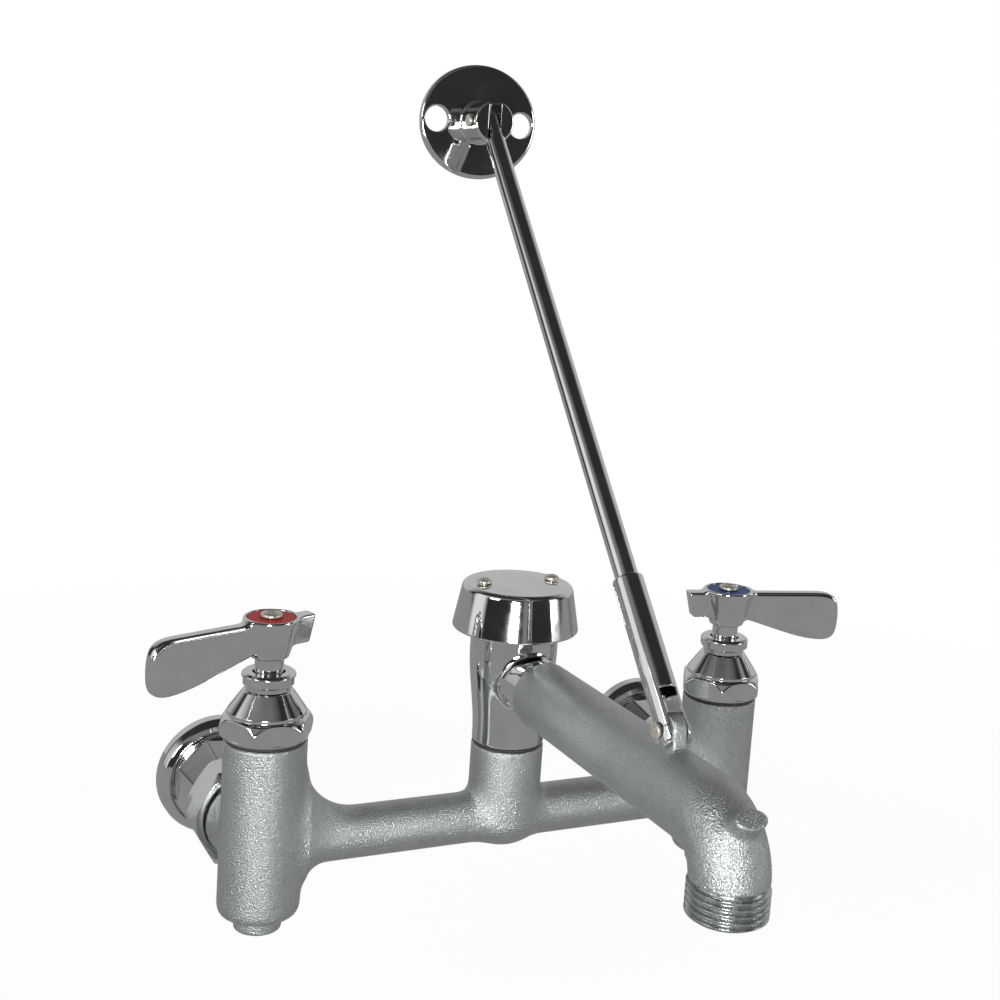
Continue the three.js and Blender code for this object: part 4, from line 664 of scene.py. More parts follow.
def inlet_boss_form(across, y, z, size):
    reach = hypot(across, z)
    flare = share_of(y, FLARE_START, INLET_BOSS_END)
    radius = choose(flare, size["Boss radius"], INLET_ROOT_RADIUS)
    boss, thread = (
        within(within(reach - wide, y - end, INLET_EDGE_ROUND), -y)
        for wide, end in ((radius, INLET_BOSS_END), (INLET_THREAD_RADIUS, INLET_THREAD_END))
    )
    return join(boss, thread)


def riser_form(x, y, z, size):
    foot = z.math("MINIMUM", 0.0) / size["Riser foot"]
    round_form = (hypot(hypot(x, y) / size["Riser radius"], foot) - 1) * size["Riser radius"]
    return within(round_form, z - RISER_TOP, 0.4)


def body_form(x, y, z, size):
    side = abs(x)
    across = side - size["Half spacing"]
    metal = join(barrel_form(across, y, z, size), inlet_boss_form(across, y, z, size), INLET_FILLET)
    metal = join(metal, crossbar_form(side, y, z, size), CROSSBAR_FILLET)
    metal = join(metal, riser_form(x, y, z, size), RISER_FILLET)
    chamber = within(hypot(across, y) - CHAMBER_RADIUS, CHAMBER_FLOOR - z)
    riser_bore = within(hypot(x, y) - RISER_BORE_RADIUS, RISER_BORE_FLOOR - z)
    return without(without(metal, chamber), riser_bore)


low, high = box_at_body("faucet_body")
margin = Vector((2 * BODY_STEP, 2 * BODY_STEP, 2 * BODY_STEP))
corners = (low - margin, high + margin)
piece = skin("body_casting", body_form, BODY_SIZES, *corners, BODY_STEP, CAST, AT_BODY)
dress(piece, "faucet", "rough_chrome", "faucet_body")

# %% [markdown]
# ## The spout casting
#
# The spout is a round pipe that rises slightly, turns down through an elbow and ends in a hose
# thread. On top it carries the lug for the brace and, on the elbow, a short horn that stops a
# pail's handle from slipping off. It is one casting too, so it is made by distances as well.

# %% Spout casting
SPOUT_SIZES = {
    "Pipe radius": 13.1,
    "Bore radius": 9.5,
    "Lug thickness": 5.3,
    "Lug radius": 5.4,
    "Hook width": 11.6,
    "Hook height": 7.2,
}
SPOUT_AXIS_HEIGHT = 59.8
SPOUT_RISE = math.radians(1.5)
RISE_COS = math.cos(SPOUT_RISE)
RISE_SIN = math.sin(SPOUT_RISE)
RISE_TAN = math.tan(SPOUT_RISE)
SPOUT_START = 29.3
SPOUT_REACH = 168.0
ELBOW_RADIUS = 16.0
BEND_START = SPOUT_REACH - ELBOW_RADIUS - ELBOW_RADIUS * RISE_SIN
BEND_ALONG = BEND_START * RISE_COS + BEND_START * RISE_TAN * RISE_SIN
ELBOW_OUT = SPOUT_REACH - ELBOW_RADIUS
ELBOW_UP = SPOUT_AXIS_HEIGHT + BEND_START * RISE_TAN - ELBOW_RADIUS * RISE_COS
THREAD_TOP = ELBOW_UP + 0.3
LUG_PIN_OUT = BODY_PLANE - LUG_PIN.y
LUG_FOOT_HALF = 8.5
LUG_FLARE_HEIGHT = 9
LUG_DEPTH = 12
PIN_HOLE_RADIUS = 2.35
HOOK_HEADING = math.radians(50.8)  # round the elbow, from upright to the foot of the hook
HOOK_TILT = math.radians(46)
HOOK_OUT = ELBOW_OUT + ELBOW_RADIUS * math.sin(HOOK_HEADING)
HOOK_UP = ELBOW_UP + ELBOW_RADIUS * math.cos(HOOK_HEADING)
HOOK_LENGTH = 19.0
LUG_FILLET = 2.2
HOOK_FILLET = 2.6
SPOUT_STEP = 0.62
SPOUT_MARGIN = Vector((1.3, 1.3, 1.3))


def turned_axes(out, up, cosine, sine):
    """The same place measured along a line that leans up, and off that line."""
    return out * cosine + up * sine, up * cosine - out * sine


def along_spout(out, up):
    return turned_axes(out, up - SPOUT_AXIS_HEIGHT, RISE_COS, RISE_SIN)


def bent_pipe(x, out, up, radius):
    """Level run, elbow and drop of one round section."""
    along, off = along_spout(out, up)
    level = hypot(off, x) - radius
    turn = hypot(hypot(out - ELBOW_OUT, up - ELBOW_UP) - ELBOW_RADIUS, x) - radius
    fall = hypot(out - SPOUT_REACH, x) - radius
    return choose(along > BEND_ALONG, choose(up > ELBOW_UP, turn, fall), level)


def lug_form(x, out, up, size):
    below = (LUG_PIN.z - up).clamp(0, LUG_FLARE_HEIGHT) / LUG_FLARE_HEIGHT
    half = size["Lug radius"] + (LUG_FOOT_HALF - size["Lug radius"]) * below * below
    web = within(within(abs(out - LUG_PIN_OUT) - half, up - LUG_PIN.z), LUG_PIN.z - LUG_DEPTH - up)
    eye = join(hypot(out - LUG_PIN_OUT, up - LUG_PIN.z) - size["Lug radius"], web)
    return within(eye, abs(x) - size["Lug thickness"] / 2, 0.9)


def hook_form(x, out, up, size):
    along, lift = turned_axes(out - HOOK_OUT, up - HOOK_UP, math.cos(HOOK_TILT), math.sin(HOOK_TILT))
    half_height = size["Hook height"] / 2
    section = (hypot(x / (size["Hook width"] / 2), lift / half_height) - 1) * half_height
    return within(within(section, along - HOOK_LENGTH, 0.8), -along)


def spout_form(x, y, z, size):
    out = -y
    along, _ = along_spout(out, z)
    pipe = within(bent_pipe(x, out, z, size["Pipe radius"]), SPOUT_START - along, 1.0)
    pipe = within(pipe, THREAD_TOP - z, 0.5)
    metal = join(pipe, lug_form(x, out, z, size), LUG_FILLET)
    metal = join(metal, hook_form(x, out, z, size), HOOK_FILLET)
    metal = without(metal, hypot(out - LUG_PIN_OUT, z - LUG_PIN.z) - PIN_HOLE_RADIUS)
    return without(metal, bent_pipe(x, out, z, size["Bore radius"]), 0.4)


low, high = box_at_body("spout")
low.z = THREAD_TOP
corners = (low - SPOUT_MARGIN, high + SPOUT_MARGIN)
piece = skin("spout_casting", spout_form, SPOUT_SIZES, *corners, SPOUT_STEP, CAST, AT_BODY)
dress(piece, "faucet", "rough_chrome", "spout")

# %% [markdown]
# ## The hose thread
#
# A thread is one ridge that winds round, not a stack of rings. Geometry Nodes starts from a plain
# tube with many rings and moves every point out by a formula of its height and its angle: where
# height plus a pitch for each turn comes round to a crest, the point stands proud.

# %% Hose thread
THREAD_SIZES = {"Root radius": 12.45, "Depth": 1.05, "Pitch": 2.2, "Length": 11.66, "Bore radius": 9.5}
THREAD_RINGS = 132
THREAD_LAP = 0.05  # mm that the thread runs up into the casting
VALLEY = 0.12  # share of the ridge's height that stays flat between turns
FLANK = 1.9  # how steeply the ridge leaves the valley
CREST = 0.8  # below 1, this power rounds the crest
RUN_OUT = 0.9  # mm over which the ridge fades at both ends
END_CHAMFER = 0.35
CREASE = math.radians(50)


def add_thread():
    graph, size, idents = new_tree("hose_thread", THREAD_SIZES)
    tube = graph.node("GeometryNodeMeshCylinder", {"fill_type": "NONE"}, {
        "Vertices": FACETS, "Side Segments": THREAD_RINGS, "Radius": 1.0, "Depth": size["Length"],
    })
    x, y, z = graph.axes(graph.node("GeometryNodeInputPosition"))
    phase = z / size["Pitch"] + y.math("ARCTAN2", x) / (2 * math.pi)
    height = (1 - abs(phase.math("FRACT") - 0.5) * 2).clamp()
    ridge = ((height - VALLEY) * FLANK).clamp() ** CREST
    ends = ((size["Length"] / 2 - abs(z)) / RUN_OUT).clamp()
    radius = size["Root radius"] + size["Depth"] * ridge * ends - (1 - ends) * END_CHAMFER
    place = graph.node("ShaderNodeCombineXYZ", None, {0: x * radius, 1: y * radius, 2: z})
    wound = graph.node("GeometryNodeSetPosition", None, {"Geometry": tube, "Position": place})
    wound = graph.node("GeometryNodeSetShadeSmooth", None, {"Geometry": wound})
    mesh = run_tree(graph, wound, SATIN, THREAD_SIZES, idents)
    close_tube(mesh, THREAD_SIZES["Bore radius"])
    middle = THREAD_TOP - THREAD_LAP - THREAD_SIZES["Length"] / 2
    piece = placed("hose_thread", mesh, Matrix.Translation((0, BODY_PLANE - SPOUT_REACH, middle)))
    dress(piece, "faucet", "rough_chrome", "spout")


def close_tube(mesh, bore_radius):
    """Gives an open tube its end faces and its bore."""
    work = bmesh.new()
    work.from_mesh(mesh)
    rims = [edge for edge in work.edges if edge.is_boundary]
    bores = []
    for end in (min, max):
        height = end(edge.verts[0].co.z for edge in rims)
        loop = [edge for edge in rims if abs(edge.verts[0].co.z - height) < 1e-3]
        grown = bmesh.ops.extrude_edge_only(work, edges=loop)["geom"]
        for vert in [item for item in grown if isinstance(item, bmesh.types.BMVert)]:
            flat = Vector((vert.co.x, vert.co.y)).normalized() * bore_radius
            vert.co = (flat.x, flat.y, height)
        bores += [item for item in grown if isinstance(item, bmesh.types.BMEdge) and item.is_boundary]
    bmesh.ops.bridge_loops(work, edges=bores)
    bmesh.ops.recalc_face_normals(work, faces=work.faces)
    for edge in work.edges:
        if edge.calc_face_angle(0) > CREASE:
            edge.smooth = False
    work.to_mesh(mesh)
    work.free()


add_thread()

# %% [markdown]
# ## The vacuum breaker
#
# The breaker body is polished all over: a cup that swells towards its shoulder, with a short neck
# that runs into the spout. The canopy above it is spun sheet, open below so that air can enter.

# %% Breaker body
BREAKER_SIZES = {
    "Foot radius": 14.7,
    "Shoulder radius": 17.8,
    "Neck radius": 11.6,
    "Chamber radius": 13.4,
    "Supply radius": 7.4,
}
BREAKER_BOTTOM = 32.4
BREAKER_TOP = 86.0
BREAKER_SEAT = 44.0
BREAKER_EDGE = 0.35
BREAKER_HALF = 19
SWELL_START = 35.0
SWELL_END = 70.0
NECK_END = 29.0
NECK_FILLET = 2.4


def breaker_form(x, y, z, size):
    out = -y
    reach = hypot(x, y)
    climb = share_of(z, SWELL_START, SWELL_END)
    swell = climb * climb * (3 - 2 * climb)
    radius = choose(swell, size["Shoulder radius"], size["Foot radius"])
    cup = within(within(reach - radius, BREAKER_BOTTOM - z, BREAKER_EDGE), z - BREAKER_TOP, BREAKER_EDGE)
    along, off = along_spout(out, z)
    neck = within(within(hypot(off, x) - size["Neck radius"], along - NECK_END, EDGE), -along)
    metal = join(cup, neck, NECK_FILLET)
    chamber = within(reach - size["Chamber radius"], BREAKER_SEAT - z)
    supply = reach - size["Supply radius"]
    outlet = within(hypot(off, x) - size["Supply radius"], -along)
    return without(without(without(metal, chamber), supply), outlet)


low = Vector((-BREAKER_HALF, -NECK_END - 2, BREAKER_BOTTOM - 1))
high = Vector((BREAKER_HALF, BREAKER_HALF, BREAKER_TOP + 1))
piece = skin("breaker_cup", breaker_form, BREAKER_SIZES, low, high, 0.5, MIRROR, AT_BODY)
dress(piece, "faucet", "polished_chrome", "breaker_body")

# %% Canopy and seals
CANOPY_LOW, CANOPY_HIGH = box_mm("canopy")
CANOPY_RADIUS = (CANOPY_HIGH.y - CANOPY_LOW.y) / 2
CANOPY_EDGE_RADIUS = 22.3  # where the cone would meet the top
CANOPY_EDGE_ROUND = 2.4
CANOPY_CROWN = 1.0
CANOPY_WALL = 1.8


rim, top = CANOPY_LOW.z, CANOPY_HIGH.z
shoulder = top - CANOPY_CROWN
roof = shoulder - CANOPY_WALL
outline = [
    (0, roof), (CANOPY_EDGE_RADIUS - CANOPY_WALL, roof, 1.4), (CANOPY_RADIUS - CANOPY_WALL, rim, EDGE),
    (CANOPY_RADIUS, rim, 0.7), (CANOPY_EDGE_RADIUS, shoulder, CANOPY_EDGE_ROUND),
    (CANOPY_EDGE_RADIUS * 0.58, top - 0.3 * CANOPY_CROWN, 12), (0, top),
]
piece = turned("canopy_shell", outline, MIRROR, AT_BODY, 160)
dress(piece, "faucet", "polished_chrome", "canopy")


def add_gasket(name, node, inner, place):
    """A thin ring whose edge shows as a dark line between two pieces."""
    low, high = box_mm(node)
    outer = (high.x - low.x) / 2
    outline = [(inner, low.z), (outer, low.z, 0.15), (outer, high.z, 0.15), (inner, high.z)]
    dress(turned(name, outline, FIBRE, place, closed=True), "faucet", "fibre", node)


add_gasket("breaker_gasket", "breaker_seal", RISER_BORE_RADIUS, AT_BODY)
for valve in VALVES:
    add_gasket(f"{valve}_gasket", f"{valve}_bonnet_gasket", CHAMBER_RADIUS, at_valve(valve))

# %% [markdown]
# ## Screws
#
# A round-head screw has a domed head with a cross sunk in it. Its distance formula is short: the
# top of a ball, less two crossed wedges that narrow as they go down. One formula serves every screw.
# Where two screws sit on the same body, Geometry Nodes sets both on a line of two points.

# %% Round-head screws
SCREW_SIZES = {"Head radius": 3.0, "Head height": 2.0, "Shank radius": 1.7}
SCREW_SHANK = 3.0
SCREW_MARGIN = 0.4
SCREW_TURN = math.radians(20)
CROWN_SHARE = 0.45  # of the head's height, in the dome
RECESS_REACH = 0.62  # length and width of an arm of the cross, as shares of the head's radius
RECESS_WIDTH = 0.19
RECESS_FLOOR = 0.25  # share of the head's height that is left under the cross


def screw_form(x, y, z, size):
    head, tall = size["Head radius"], size["Head height"]
    crown = tall * CROWN_SHARE
    ball = (head * head + crown * crown) / (2 * crown)
    side = hypot(x, y)
    dome = hypot(side, z - (tall - ball)) - ball
    head_form = within(within(dome, side - head, 0.5), -z, FINE_EDGE)
    shank = within(within(side - size["Shank radius"], z), -SCREW_SHANK - z)
    floor = tall * RECESS_FLOOR
    narrow = ((z - floor) / (tall - floor)).clamp(0.2, 1)
    arms = [
        within(
            within(abs(a) - head * RECESS_WIDTH * narrow, abs(b) - head * RECESS_REACH * narrow),
            floor - z,
        )
        for a, b in ((x, y), (y, x))
    ]
    return without(join(head_form, shank), join(*arms, 0.15), 0.12)


def screw_mesh(name, sizes, place):
    reach = sizes["Head radius"] + SCREW_MARGIN
    space = column(reach, -SCREW_SHANK - SCREW_MARGIN, sizes["Head height"] + SCREW_MARGIN)
    return skin(name, screw_form, sizes, *space, 0.1, STEEL, place)


def add_canopy_screws():
    left, right = centre_mm("canopy_screw_left"), centre_mm("canopy_screw_right")
    seat = box_mm("canopy_screw_left")[1].z - SCREW_SIZES["Head height"]
    seed = screw_mesh("canopy_screw_seed", SCREW_SIZES, Matrix.Rotation(SCREW_TURN, 4, "Z"))
    seed.data.transform(Matrix.Scale(1 / MM, 4))
    sizes = {"Spread": right.x - left.x}
    graph, size, idents = new_tree("canopy_screws", sizes)
    start = graph.node("ShaderNodeCombineXYZ", None, {0: size["Spread"] * -0.5})
    step = graph.node("ShaderNodeCombineXYZ", None, {0: size["Spread"]})
    ends = {"Count": 2, "Start Location": start, "Offset": step}
    line = graph.node("GeometryNodeMeshLine", None, ends)
    screw = graph.node("GeometryNodeObjectInfo", None, {"Object": seed}, output="Geometry")
    pair = graph.node("GeometryNodeInstanceOnPoints", None, {"Points": line, "Instance": screw})
    mesh = run_tree(graph, pair, STEEL, sizes, idents)
    bpy.data.objects.remove(seed)
    piece = placed("canopy_screws", mesh, Matrix.Translation((0, BODY_PLANE, seat)))
    dress(piece, "faucet", "steel", "canopy_screw_left", "canopy_screw_right")


add_canopy_screws()

# %% [markdown]
# ## The valves
#
# Above each barrel stand a bonnet with wrench flats and a polished cone, a packing nut, the stem
# and the lever. All but the lever are turned. The flats of the bonnet and the nut are cut by the
# same rule that cuts them on a real one: a hexagon that limits a domed blank.

# %% Bonnet
def add_plated(valve, name, node, outline, facets, nut=None, place=at_valve, body="faucet"):
    """A turned piece of one valve, with its wrench flats if it has any."""
    piece = turned(f"{valve}_{name}", outline, MIRROR, place(valve), facets, bool(nut), nut)
    dress(piece, body, "polished_chrome", f"{valve}_{node}")


STEM_BORE = 5.85
BONNET_SKIRT = 28.0
SKIRT_RADIUS = CHAMBER_RADIUS - 0.3
BONNET_SEAT = 43.6
BONNET_FACE_RADIUS = 16.1
HEX_BOTTOM = 44.5
HEX_TOP = 52.4
HEX_ACROSS = 32.0
HEX_CORNER_RADIUS = 18.45
CONE_FOOT_RADIUS = 14.95
CONE_TOP = 61.8
NECK_RADIUS = 7.5
NECK_TOP = 66.0


def add_bonnet(valve):
    outline = [
        (STEM_BORE, BONNET_SKIRT), (SKIRT_RADIUS, BONNET_SKIRT, 0.5), (SKIRT_RADIUS, BONNET_SEAT),
        (BONNET_FACE_RADIUS, BONNET_SEAT, 0.25), (BONNET_FACE_RADIUS, HEX_BOTTOM, 0.25),
        (17.3, HEX_BOTTOM, EDGE), (HEX_CORNER_RADIUS, HEX_BOTTOM + 2.2, 2),
        (HEX_CORNER_RADIUS, HEX_BOTTOM + 4.2, 2.5), (16.6, HEX_TOP - 0.4, 1.5),
        (CONE_FOOT_RADIUS + 0.15, HEX_TOP + 0.3, EDGE), (CONE_FOOT_RADIUS, 54, 0.5),
        (9.5, CONE_TOP, 0.4), (NECK_RADIUS, CONE_TOP), (NECK_RADIUS, NECK_TOP),
        (STEM_BORE, NECK_TOP),
    ]
    nut = (flats(6, HEX_ACROSS), HEX_BOTTOM, HEX_TOP + 0.6, 0.5)
    add_plated(valve, "bonnet_shell", "bonnet", outline, 216, nut)


# %% Packing nut
NUT_FOOT = 62.1
NUT_TOP = 69.0
NUT_ACROSS = 19.2
NUT_TURN = 14.0
NUT_BORE = 7.8
NUT_COLLAR_RADIUS = 8.7
NUT_COLLAR_TOP = NUT_FOOT + 1.9
NUT_FACE_RADIUS = 9.3
NUT_CORNER_RADIUS = 10.3


def add_packing_nut(valve):
    outline = [
        (NUT_BORE, NUT_FOOT), (NUT_COLLAR_RADIUS, NUT_FOOT, 0.25),
        (NUT_COLLAR_RADIUS, NUT_COLLAR_TOP, 0.25), (NUT_FACE_RADIUS, NUT_COLLAR_TOP, FINE_EDGE),
        (NUT_CORNER_RADIUS, NUT_COLLAR_TOP + 0.9, 0.6), (NUT_CORNER_RADIUS, NUT_TOP - 0.9, 0.7),
        (NUT_FACE_RADIUS, NUT_TOP, 0.4), (6.4, NUT_TOP, EDGE),
        (STEM_BORE, NUT_TOP - 0.9), (NUT_BORE, NUT_TOP - 2),
    ]
    nut = (flats(6, NUT_ACROSS, -90 + NUT_TURN), NUT_COLLAR_TOP + 0.05, NUT_TOP - 2.0, 0.25)
    add_plated(valve, "packing_collar", "packing_nut", outline, 144, nut)


# %% Stem
STEM_RADIUS = 5.5
STEM_COLLAR_RADIUS = 5.0
STEM_FOOT_RADIUS = 3.2
STEM_FOOT_LENGTH = 2.6
STEM_THREAD_RADIUS = 7.9
STEM_THREAD_START = 31
STEM_THREAD_END = 40
STEM_SHOULDER = 76.6
STEM_TIP_RADIUS = 4.3


def add_stem(valve):
    low, high = box_mm(f"{valve}_stem")
    foot = low.z + STEM_FOOT_LENGTH
    outline = [
        (0, low.z), (STEM_FOOT_RADIUS, low.z, EDGE), (STEM_FOOT_RADIUS, foot),
        (STEM_COLLAR_RADIUS, foot, EDGE), (STEM_COLLAR_RADIUS, STEM_THREAD_START - 1, 0.5),
        (STEM_THREAD_RADIUS, STEM_THREAD_START, 0.4), (STEM_THREAD_RADIUS, STEM_THREAD_END, 0.4),
        (STEM_RADIUS, STEM_THREAD_END + 1, 0.4), (STEM_RADIUS, STEM_SHOULDER, 0.4),
        (STEM_TIP_RADIUS, 76.8, EDGE), (STEM_TIP_RADIUS, high.z, 0.4), (0, high.z),
    ]
    add_plated(valve, "spindle_rod", "stem", outline, FACETS, body=f"{valve}_spindle")


for valve in VALVES:
    add_bonnet(valve)
    add_packing_nut(valve)
    add_stem(valve)

# %% [markdown]
# ## The levers
#
# A lever is a small polished casting: a hub that widens upwards, a broad flat blade that drops
# towards its tip, and a stub on the other side. Its edges are well rounded, so distances suit it
# too. The index disc lies in the dish on top, held by one screw.

# %% Levers
LEVER_SIZES = {
    "Blade length": 52.0,
    "Blade thickness": 5.6,
    "Blade top": 89.0,
    "Hub bottom radius": 7.2,
    "Hub top radius": 10.6,
    "Stub length": 18.8,
    "Stub thickness": 6.6,
}
LEVER_SCREW_SIZES = {"Head radius": 4.2, "Head height": 2.1, "Shank radius": 1.9}
LEVER_BOTTOM = 74.6
LEVER_TOP = 90.2
LEVER_HALF = 12
HUB_FLARE_TOP = LEVER_TOP - 1.4
DISH_RADIUS = 9.4
DISH_DEPTH = 1.7
BLADE_ROOT_BOTTOM = 77.2
BLADE_TIP_BOTTOM = 67.2
BLADE_FALL = 0.3154  # how steeply the lower edge drops
STUB_BOTTOM = 78
STUB_SLANT = 2.6
EDGE_ROUND = 1.5
LEVER_TURN = {"hot": math.radians(200), "cold": math.radians(-12)}
DISC_BORE = 2.2
DISC_STEP_RADIUS = 5.2


def blade_form(x, y, z, size):
    falling = BLADE_ROOT_BOTTOM - (x - size["Hub bottom radius"]) * BLADE_FALL - z
    under = within(falling, BLADE_TIP_BOTTOM - z, 3.0)
    outline = within(z - size["Blade top"], x - size["Blade length"], 7.5)
    outline = within(outline, under, 6.5)
    return within(within(outline, abs(y) - size["Blade thickness"] / 2, EDGE_ROUND), -x)


def stub_form(x, y, z, size):
    back = -x
    slant = size["Stub length"] - STUB_SLANT * (1 - (z - STUB_BOTTOM) / 11)
    outline = within(z - size["Blade top"], back - slant, 0.8)
    outline = within(outline, STUB_BOTTOM - z, 0.8)
    return within(within(outline, abs(y) - size["Stub thickness"] / 2, 1.0), -back)


def lever_form(x, y, z, size):
    reach = hypot(x, y)
    climb = share_of(z, LEVER_BOTTOM, HUB_FLARE_TOP)
    radius = choose(climb, size["Hub top radius"], size["Hub bottom radius"])
    hub = within(within(reach - radius, z - LEVER_TOP, 0.7), LEVER_BOTTOM - z, 0.5)
    metal = join(hub, blade_form(x, y, z, size), 2.6)
    metal = join(metal, stub_form(x, y, z, size), 2.0)
    metal = within(metal, z - LEVER_TOP, EDGE)
    return without(metal, within(reach - DISH_RADIUS, LEVER_TOP - DISH_DEPTH - z))


def add_lever(valve, colour, slot):
    body = f"{valve}_spindle"
    place = at_valve(valve) @ Matrix.Rotation(LEVER_TURN[valve], 4, "Z")
    low = Vector((-LEVER_SIZES["Stub length"] - 1, -LEVER_HALF, BLADE_TIP_BOTTOM - 1.6))
    high = Vector((LEVER_SIZES["Blade length"] + 1, LEVER_HALF, LEVER_TOP + 1))
    lever = skin(f"{valve}_lever", lever_form, LEVER_SIZES, low, high, 0.34, MIRROR, place)
    dress(lever, body, "polished_chrome", f"{valve}_handle")
    disc_low, disc_high = box_mm(f"{valve}_index_disc")
    edge = DISH_RADIUS - 0.25
    outline = [
        (DISC_BORE, disc_low.z), (edge, disc_low.z, FINE_EDGE), (edge, disc_high.z, EDGE),
        (DISC_STEP_RADIUS, disc_high.z, FINE_EDGE), (DISC_BORE, disc_high.z),
    ]
    disc = turned(f"{valve}_index_enamel", outline, colour, place, closed=True)
    dress(disc, body, slot, f"{valve}_index_disc")
    top = box_mm(f"{valve}_handle_screw")[1].z
    seat = place @ Matrix.Translation((0, 0, top - LEVER_SCREW_SIZES["Head height"]))
    screw = screw_mesh(f"{valve}_lever_screw", LEVER_SCREW_SIZES, seat)
    dress(screw, body, "steel", f"{valve}_handle_screw")


add_lever("hot", RED, "index_red")
add_lever("cold", BLUE, "index_blue")

# %% [markdown]
# ## The inlets
#
# Behind each barrel a union nut pulls a tailpiece against the boss. The tailpiece widens into a hub
# with eight wrench flats and ends in the round flange that covers the hole in the wall.

# %% Union nuts
UNION_START = 24.0
UNION_END = 42.0
UNION_ACROSS = 38.0
UNION_CORNER_RADIUS = UNION_ACROSS / 2 / math.cos(math.pi / 6)
UNION_FACE_RADIUS = 19.6
UNION_CHAMFER = 2.6
UNION_BORE = 14.8
UNION_LIP_BORE = 11.3
UNION_LIP = 2.2


def add_union_nut(valve):
    outline = [
        (UNION_BORE, UNION_START), (UNION_FACE_RADIUS, UNION_START, 0.4),
        (UNION_CORNER_RADIUS, UNION_START + UNION_CHAMFER, 1.2),
        (UNION_CORNER_RADIUS, UNION_END - UNION_CHAMFER, 1.2), (UNION_FACE_RADIUS, UNION_END, 0.4),
        (UNION_LIP_BORE, UNION_END), (UNION_LIP_BORE, UNION_END - UNION_LIP),
        (UNION_BORE, UNION_END - UNION_LIP),
    ]
    nut = (flats(6, UNION_ACROSS), UNION_START, UNION_END, 0.5)
    add_plated(valve, "union_nut", "coupling_nut", outline, 216, nut, at_inlet)


# %% Inlet flanges
TAIL_BORE = 6.6
TAIL_START = 36.3
TAIL_LIP_RADIUS = 13.6
TAIL_LIP_END = 39.3
TAIL_RADIUS = 11
INLET_HUB_START = 42.6
INLET_HUB_END = 62.0
HUB_NOSE_RADIUS = 16.6  # across the corners of the eight flats
HUB_ROOT_RADIUS = 20.6
HUB_NOSE_FLAT = HUB_NOSE_RADIUS * math.cos(math.pi / 8)
HUB_ROOT_FLAT = HUB_ROOT_RADIUS * math.cos(math.pi / 8)
GROOVE_RADIUS = 18.6
FLANGE_FACE = 64.5
FLANGE_RADIUS = 25.4
SOCKET_RADIUS = 10.2
SOCKET_DEPTH = 15
WALL = 74.0


def add_inlet_flange(valve):
    taper = (HUB_ROOT_FLAT - HUB_NOSE_FLAT) / (INLET_HUB_END - INLET_HUB_START)
    outline = [
        (TAIL_BORE, TAIL_START), (TAIL_LIP_RADIUS, TAIL_START, EDGE),
        (TAIL_LIP_RADIUS, TAIL_LIP_END, EDGE), (TAIL_RADIUS, TAIL_LIP_END),
        (TAIL_RADIUS, INLET_HUB_START), (15, INLET_HUB_START, 0.4), (17.2, INLET_HUB_START + 3.0, 1.2),
        (HUB_ROOT_RADIUS, INLET_HUB_END, 0.5), (GROOVE_RADIUS, INLET_HUB_END + 0.2, FINE_EDGE),
        (GROOVE_RADIUS, FLANGE_FACE + 2.4, EDGE), (GROOVE_RADIUS + 2, FLANGE_FACE + 2.4, EDGE),
        (21, FLANGE_FACE, EDGE), (21.8, FLANGE_FACE, 0.5), (23.9, FLANGE_FACE + 1.5, 2.5),
        (25.2, FLANGE_FACE + 5.0, 3), (FLANGE_RADIUS, WALL - 0.2, FINE_EDGE), (25.2, WALL),
        (SOCKET_RADIUS, WALL), (9.4, WALL - SOCKET_DEPTH), (TAIL_BORE, WALL - SOCKET_DEPTH),
    ]
    limit = flats(8, 2 * HUB_NOSE_FLAT, 0, taper, INLET_HUB_START)
    nut = (limit, INLET_HUB_START, INLET_HUB_END + 0.1, 0.4)
    add_plated(valve, "wall_rose", "inlet_flange", outline, 192, nut, at_inlet)


for valve in VALVES:
    add_union_nut(valve)
    add_inlet_flange(valve)

# %% [markdown]
# ## The brace
#
# A rod screws into a sleeve that is forked over the lug on the spout. Its upper end is flattened to
# a tongue and pinned in the slotted hub of the wall flange. Both are made by distances, the rod with
# finer steps across than along, because along it little changes.

# %% Sleeve and rod
BRACE_SIZES = {
    "Sleeve radius": 5.65,
    "Rod radius": 4.3,
    "Tongue thickness": 4.6,
    "Slot width": 6.0,
}
SLEEVE_LENGTH = 56.0
SLOT_DEPTH = 13.0
SLEEVE_BORE_START = SLOT_DEPTH - 1
SLIDE_GAP = 0.35
ROD_START = 26.0
TONGUE_LENGTH = 10.5
TONGUE_TAPER = 3
PIN_RADIUS = 2.0
PIN_GAP = 0.3
BRACE_STEP = 0.3
BRACE_MARGIN = 0.8


def sleeve_form(x, y, z, size):
    barrel = within(hypot(x, y) - size["Sleeve radius"], z - SLEEVE_LENGTH, 0.6)
    nose = choose(z < 0, hypot(y, z) - size["Sleeve radius"], hypot(x, y) - size["Sleeve radius"])
    metal = within(barrel, nose, 0.4)
    slot = within(abs(x) - size["Slot width"] / 2, z - SLOT_DEPTH)
    bore = within(hypot(x, y) - (size["Rod radius"] + SLIDE_GAP), SLEEVE_BORE_START - z)
    pin_hole = hypot(y, z) - (PIN_RADIUS + PIN_GAP)
    return without(without(without(metal, slot, 0.35), bore), pin_hole, FINE_EDGE)


def rod_form(x, y, z, size):
    tip = choose(z > BRACE_LENGTH, hypot(y, z - BRACE_LENGTH), hypot(x, y)) - size["Rod radius"]
    bar = within(within(hypot(x, y) - size["Rod radius"], tip, EDGE), ROD_START - z, 0.4)
    taper = ((BRACE_LENGTH - TONGUE_LENGTH - z) / TONGUE_TAPER).clamp() * 4
    tongue = abs(x) - size["Tongue thickness"] / 2 - taper
    pin_hole = hypot(y, z - BRACE_LENGTH) - (PIN_RADIUS + SLIDE_GAP)
    return without(within(bar, tongue, 0.5), pin_hole, FINE_EDGE)


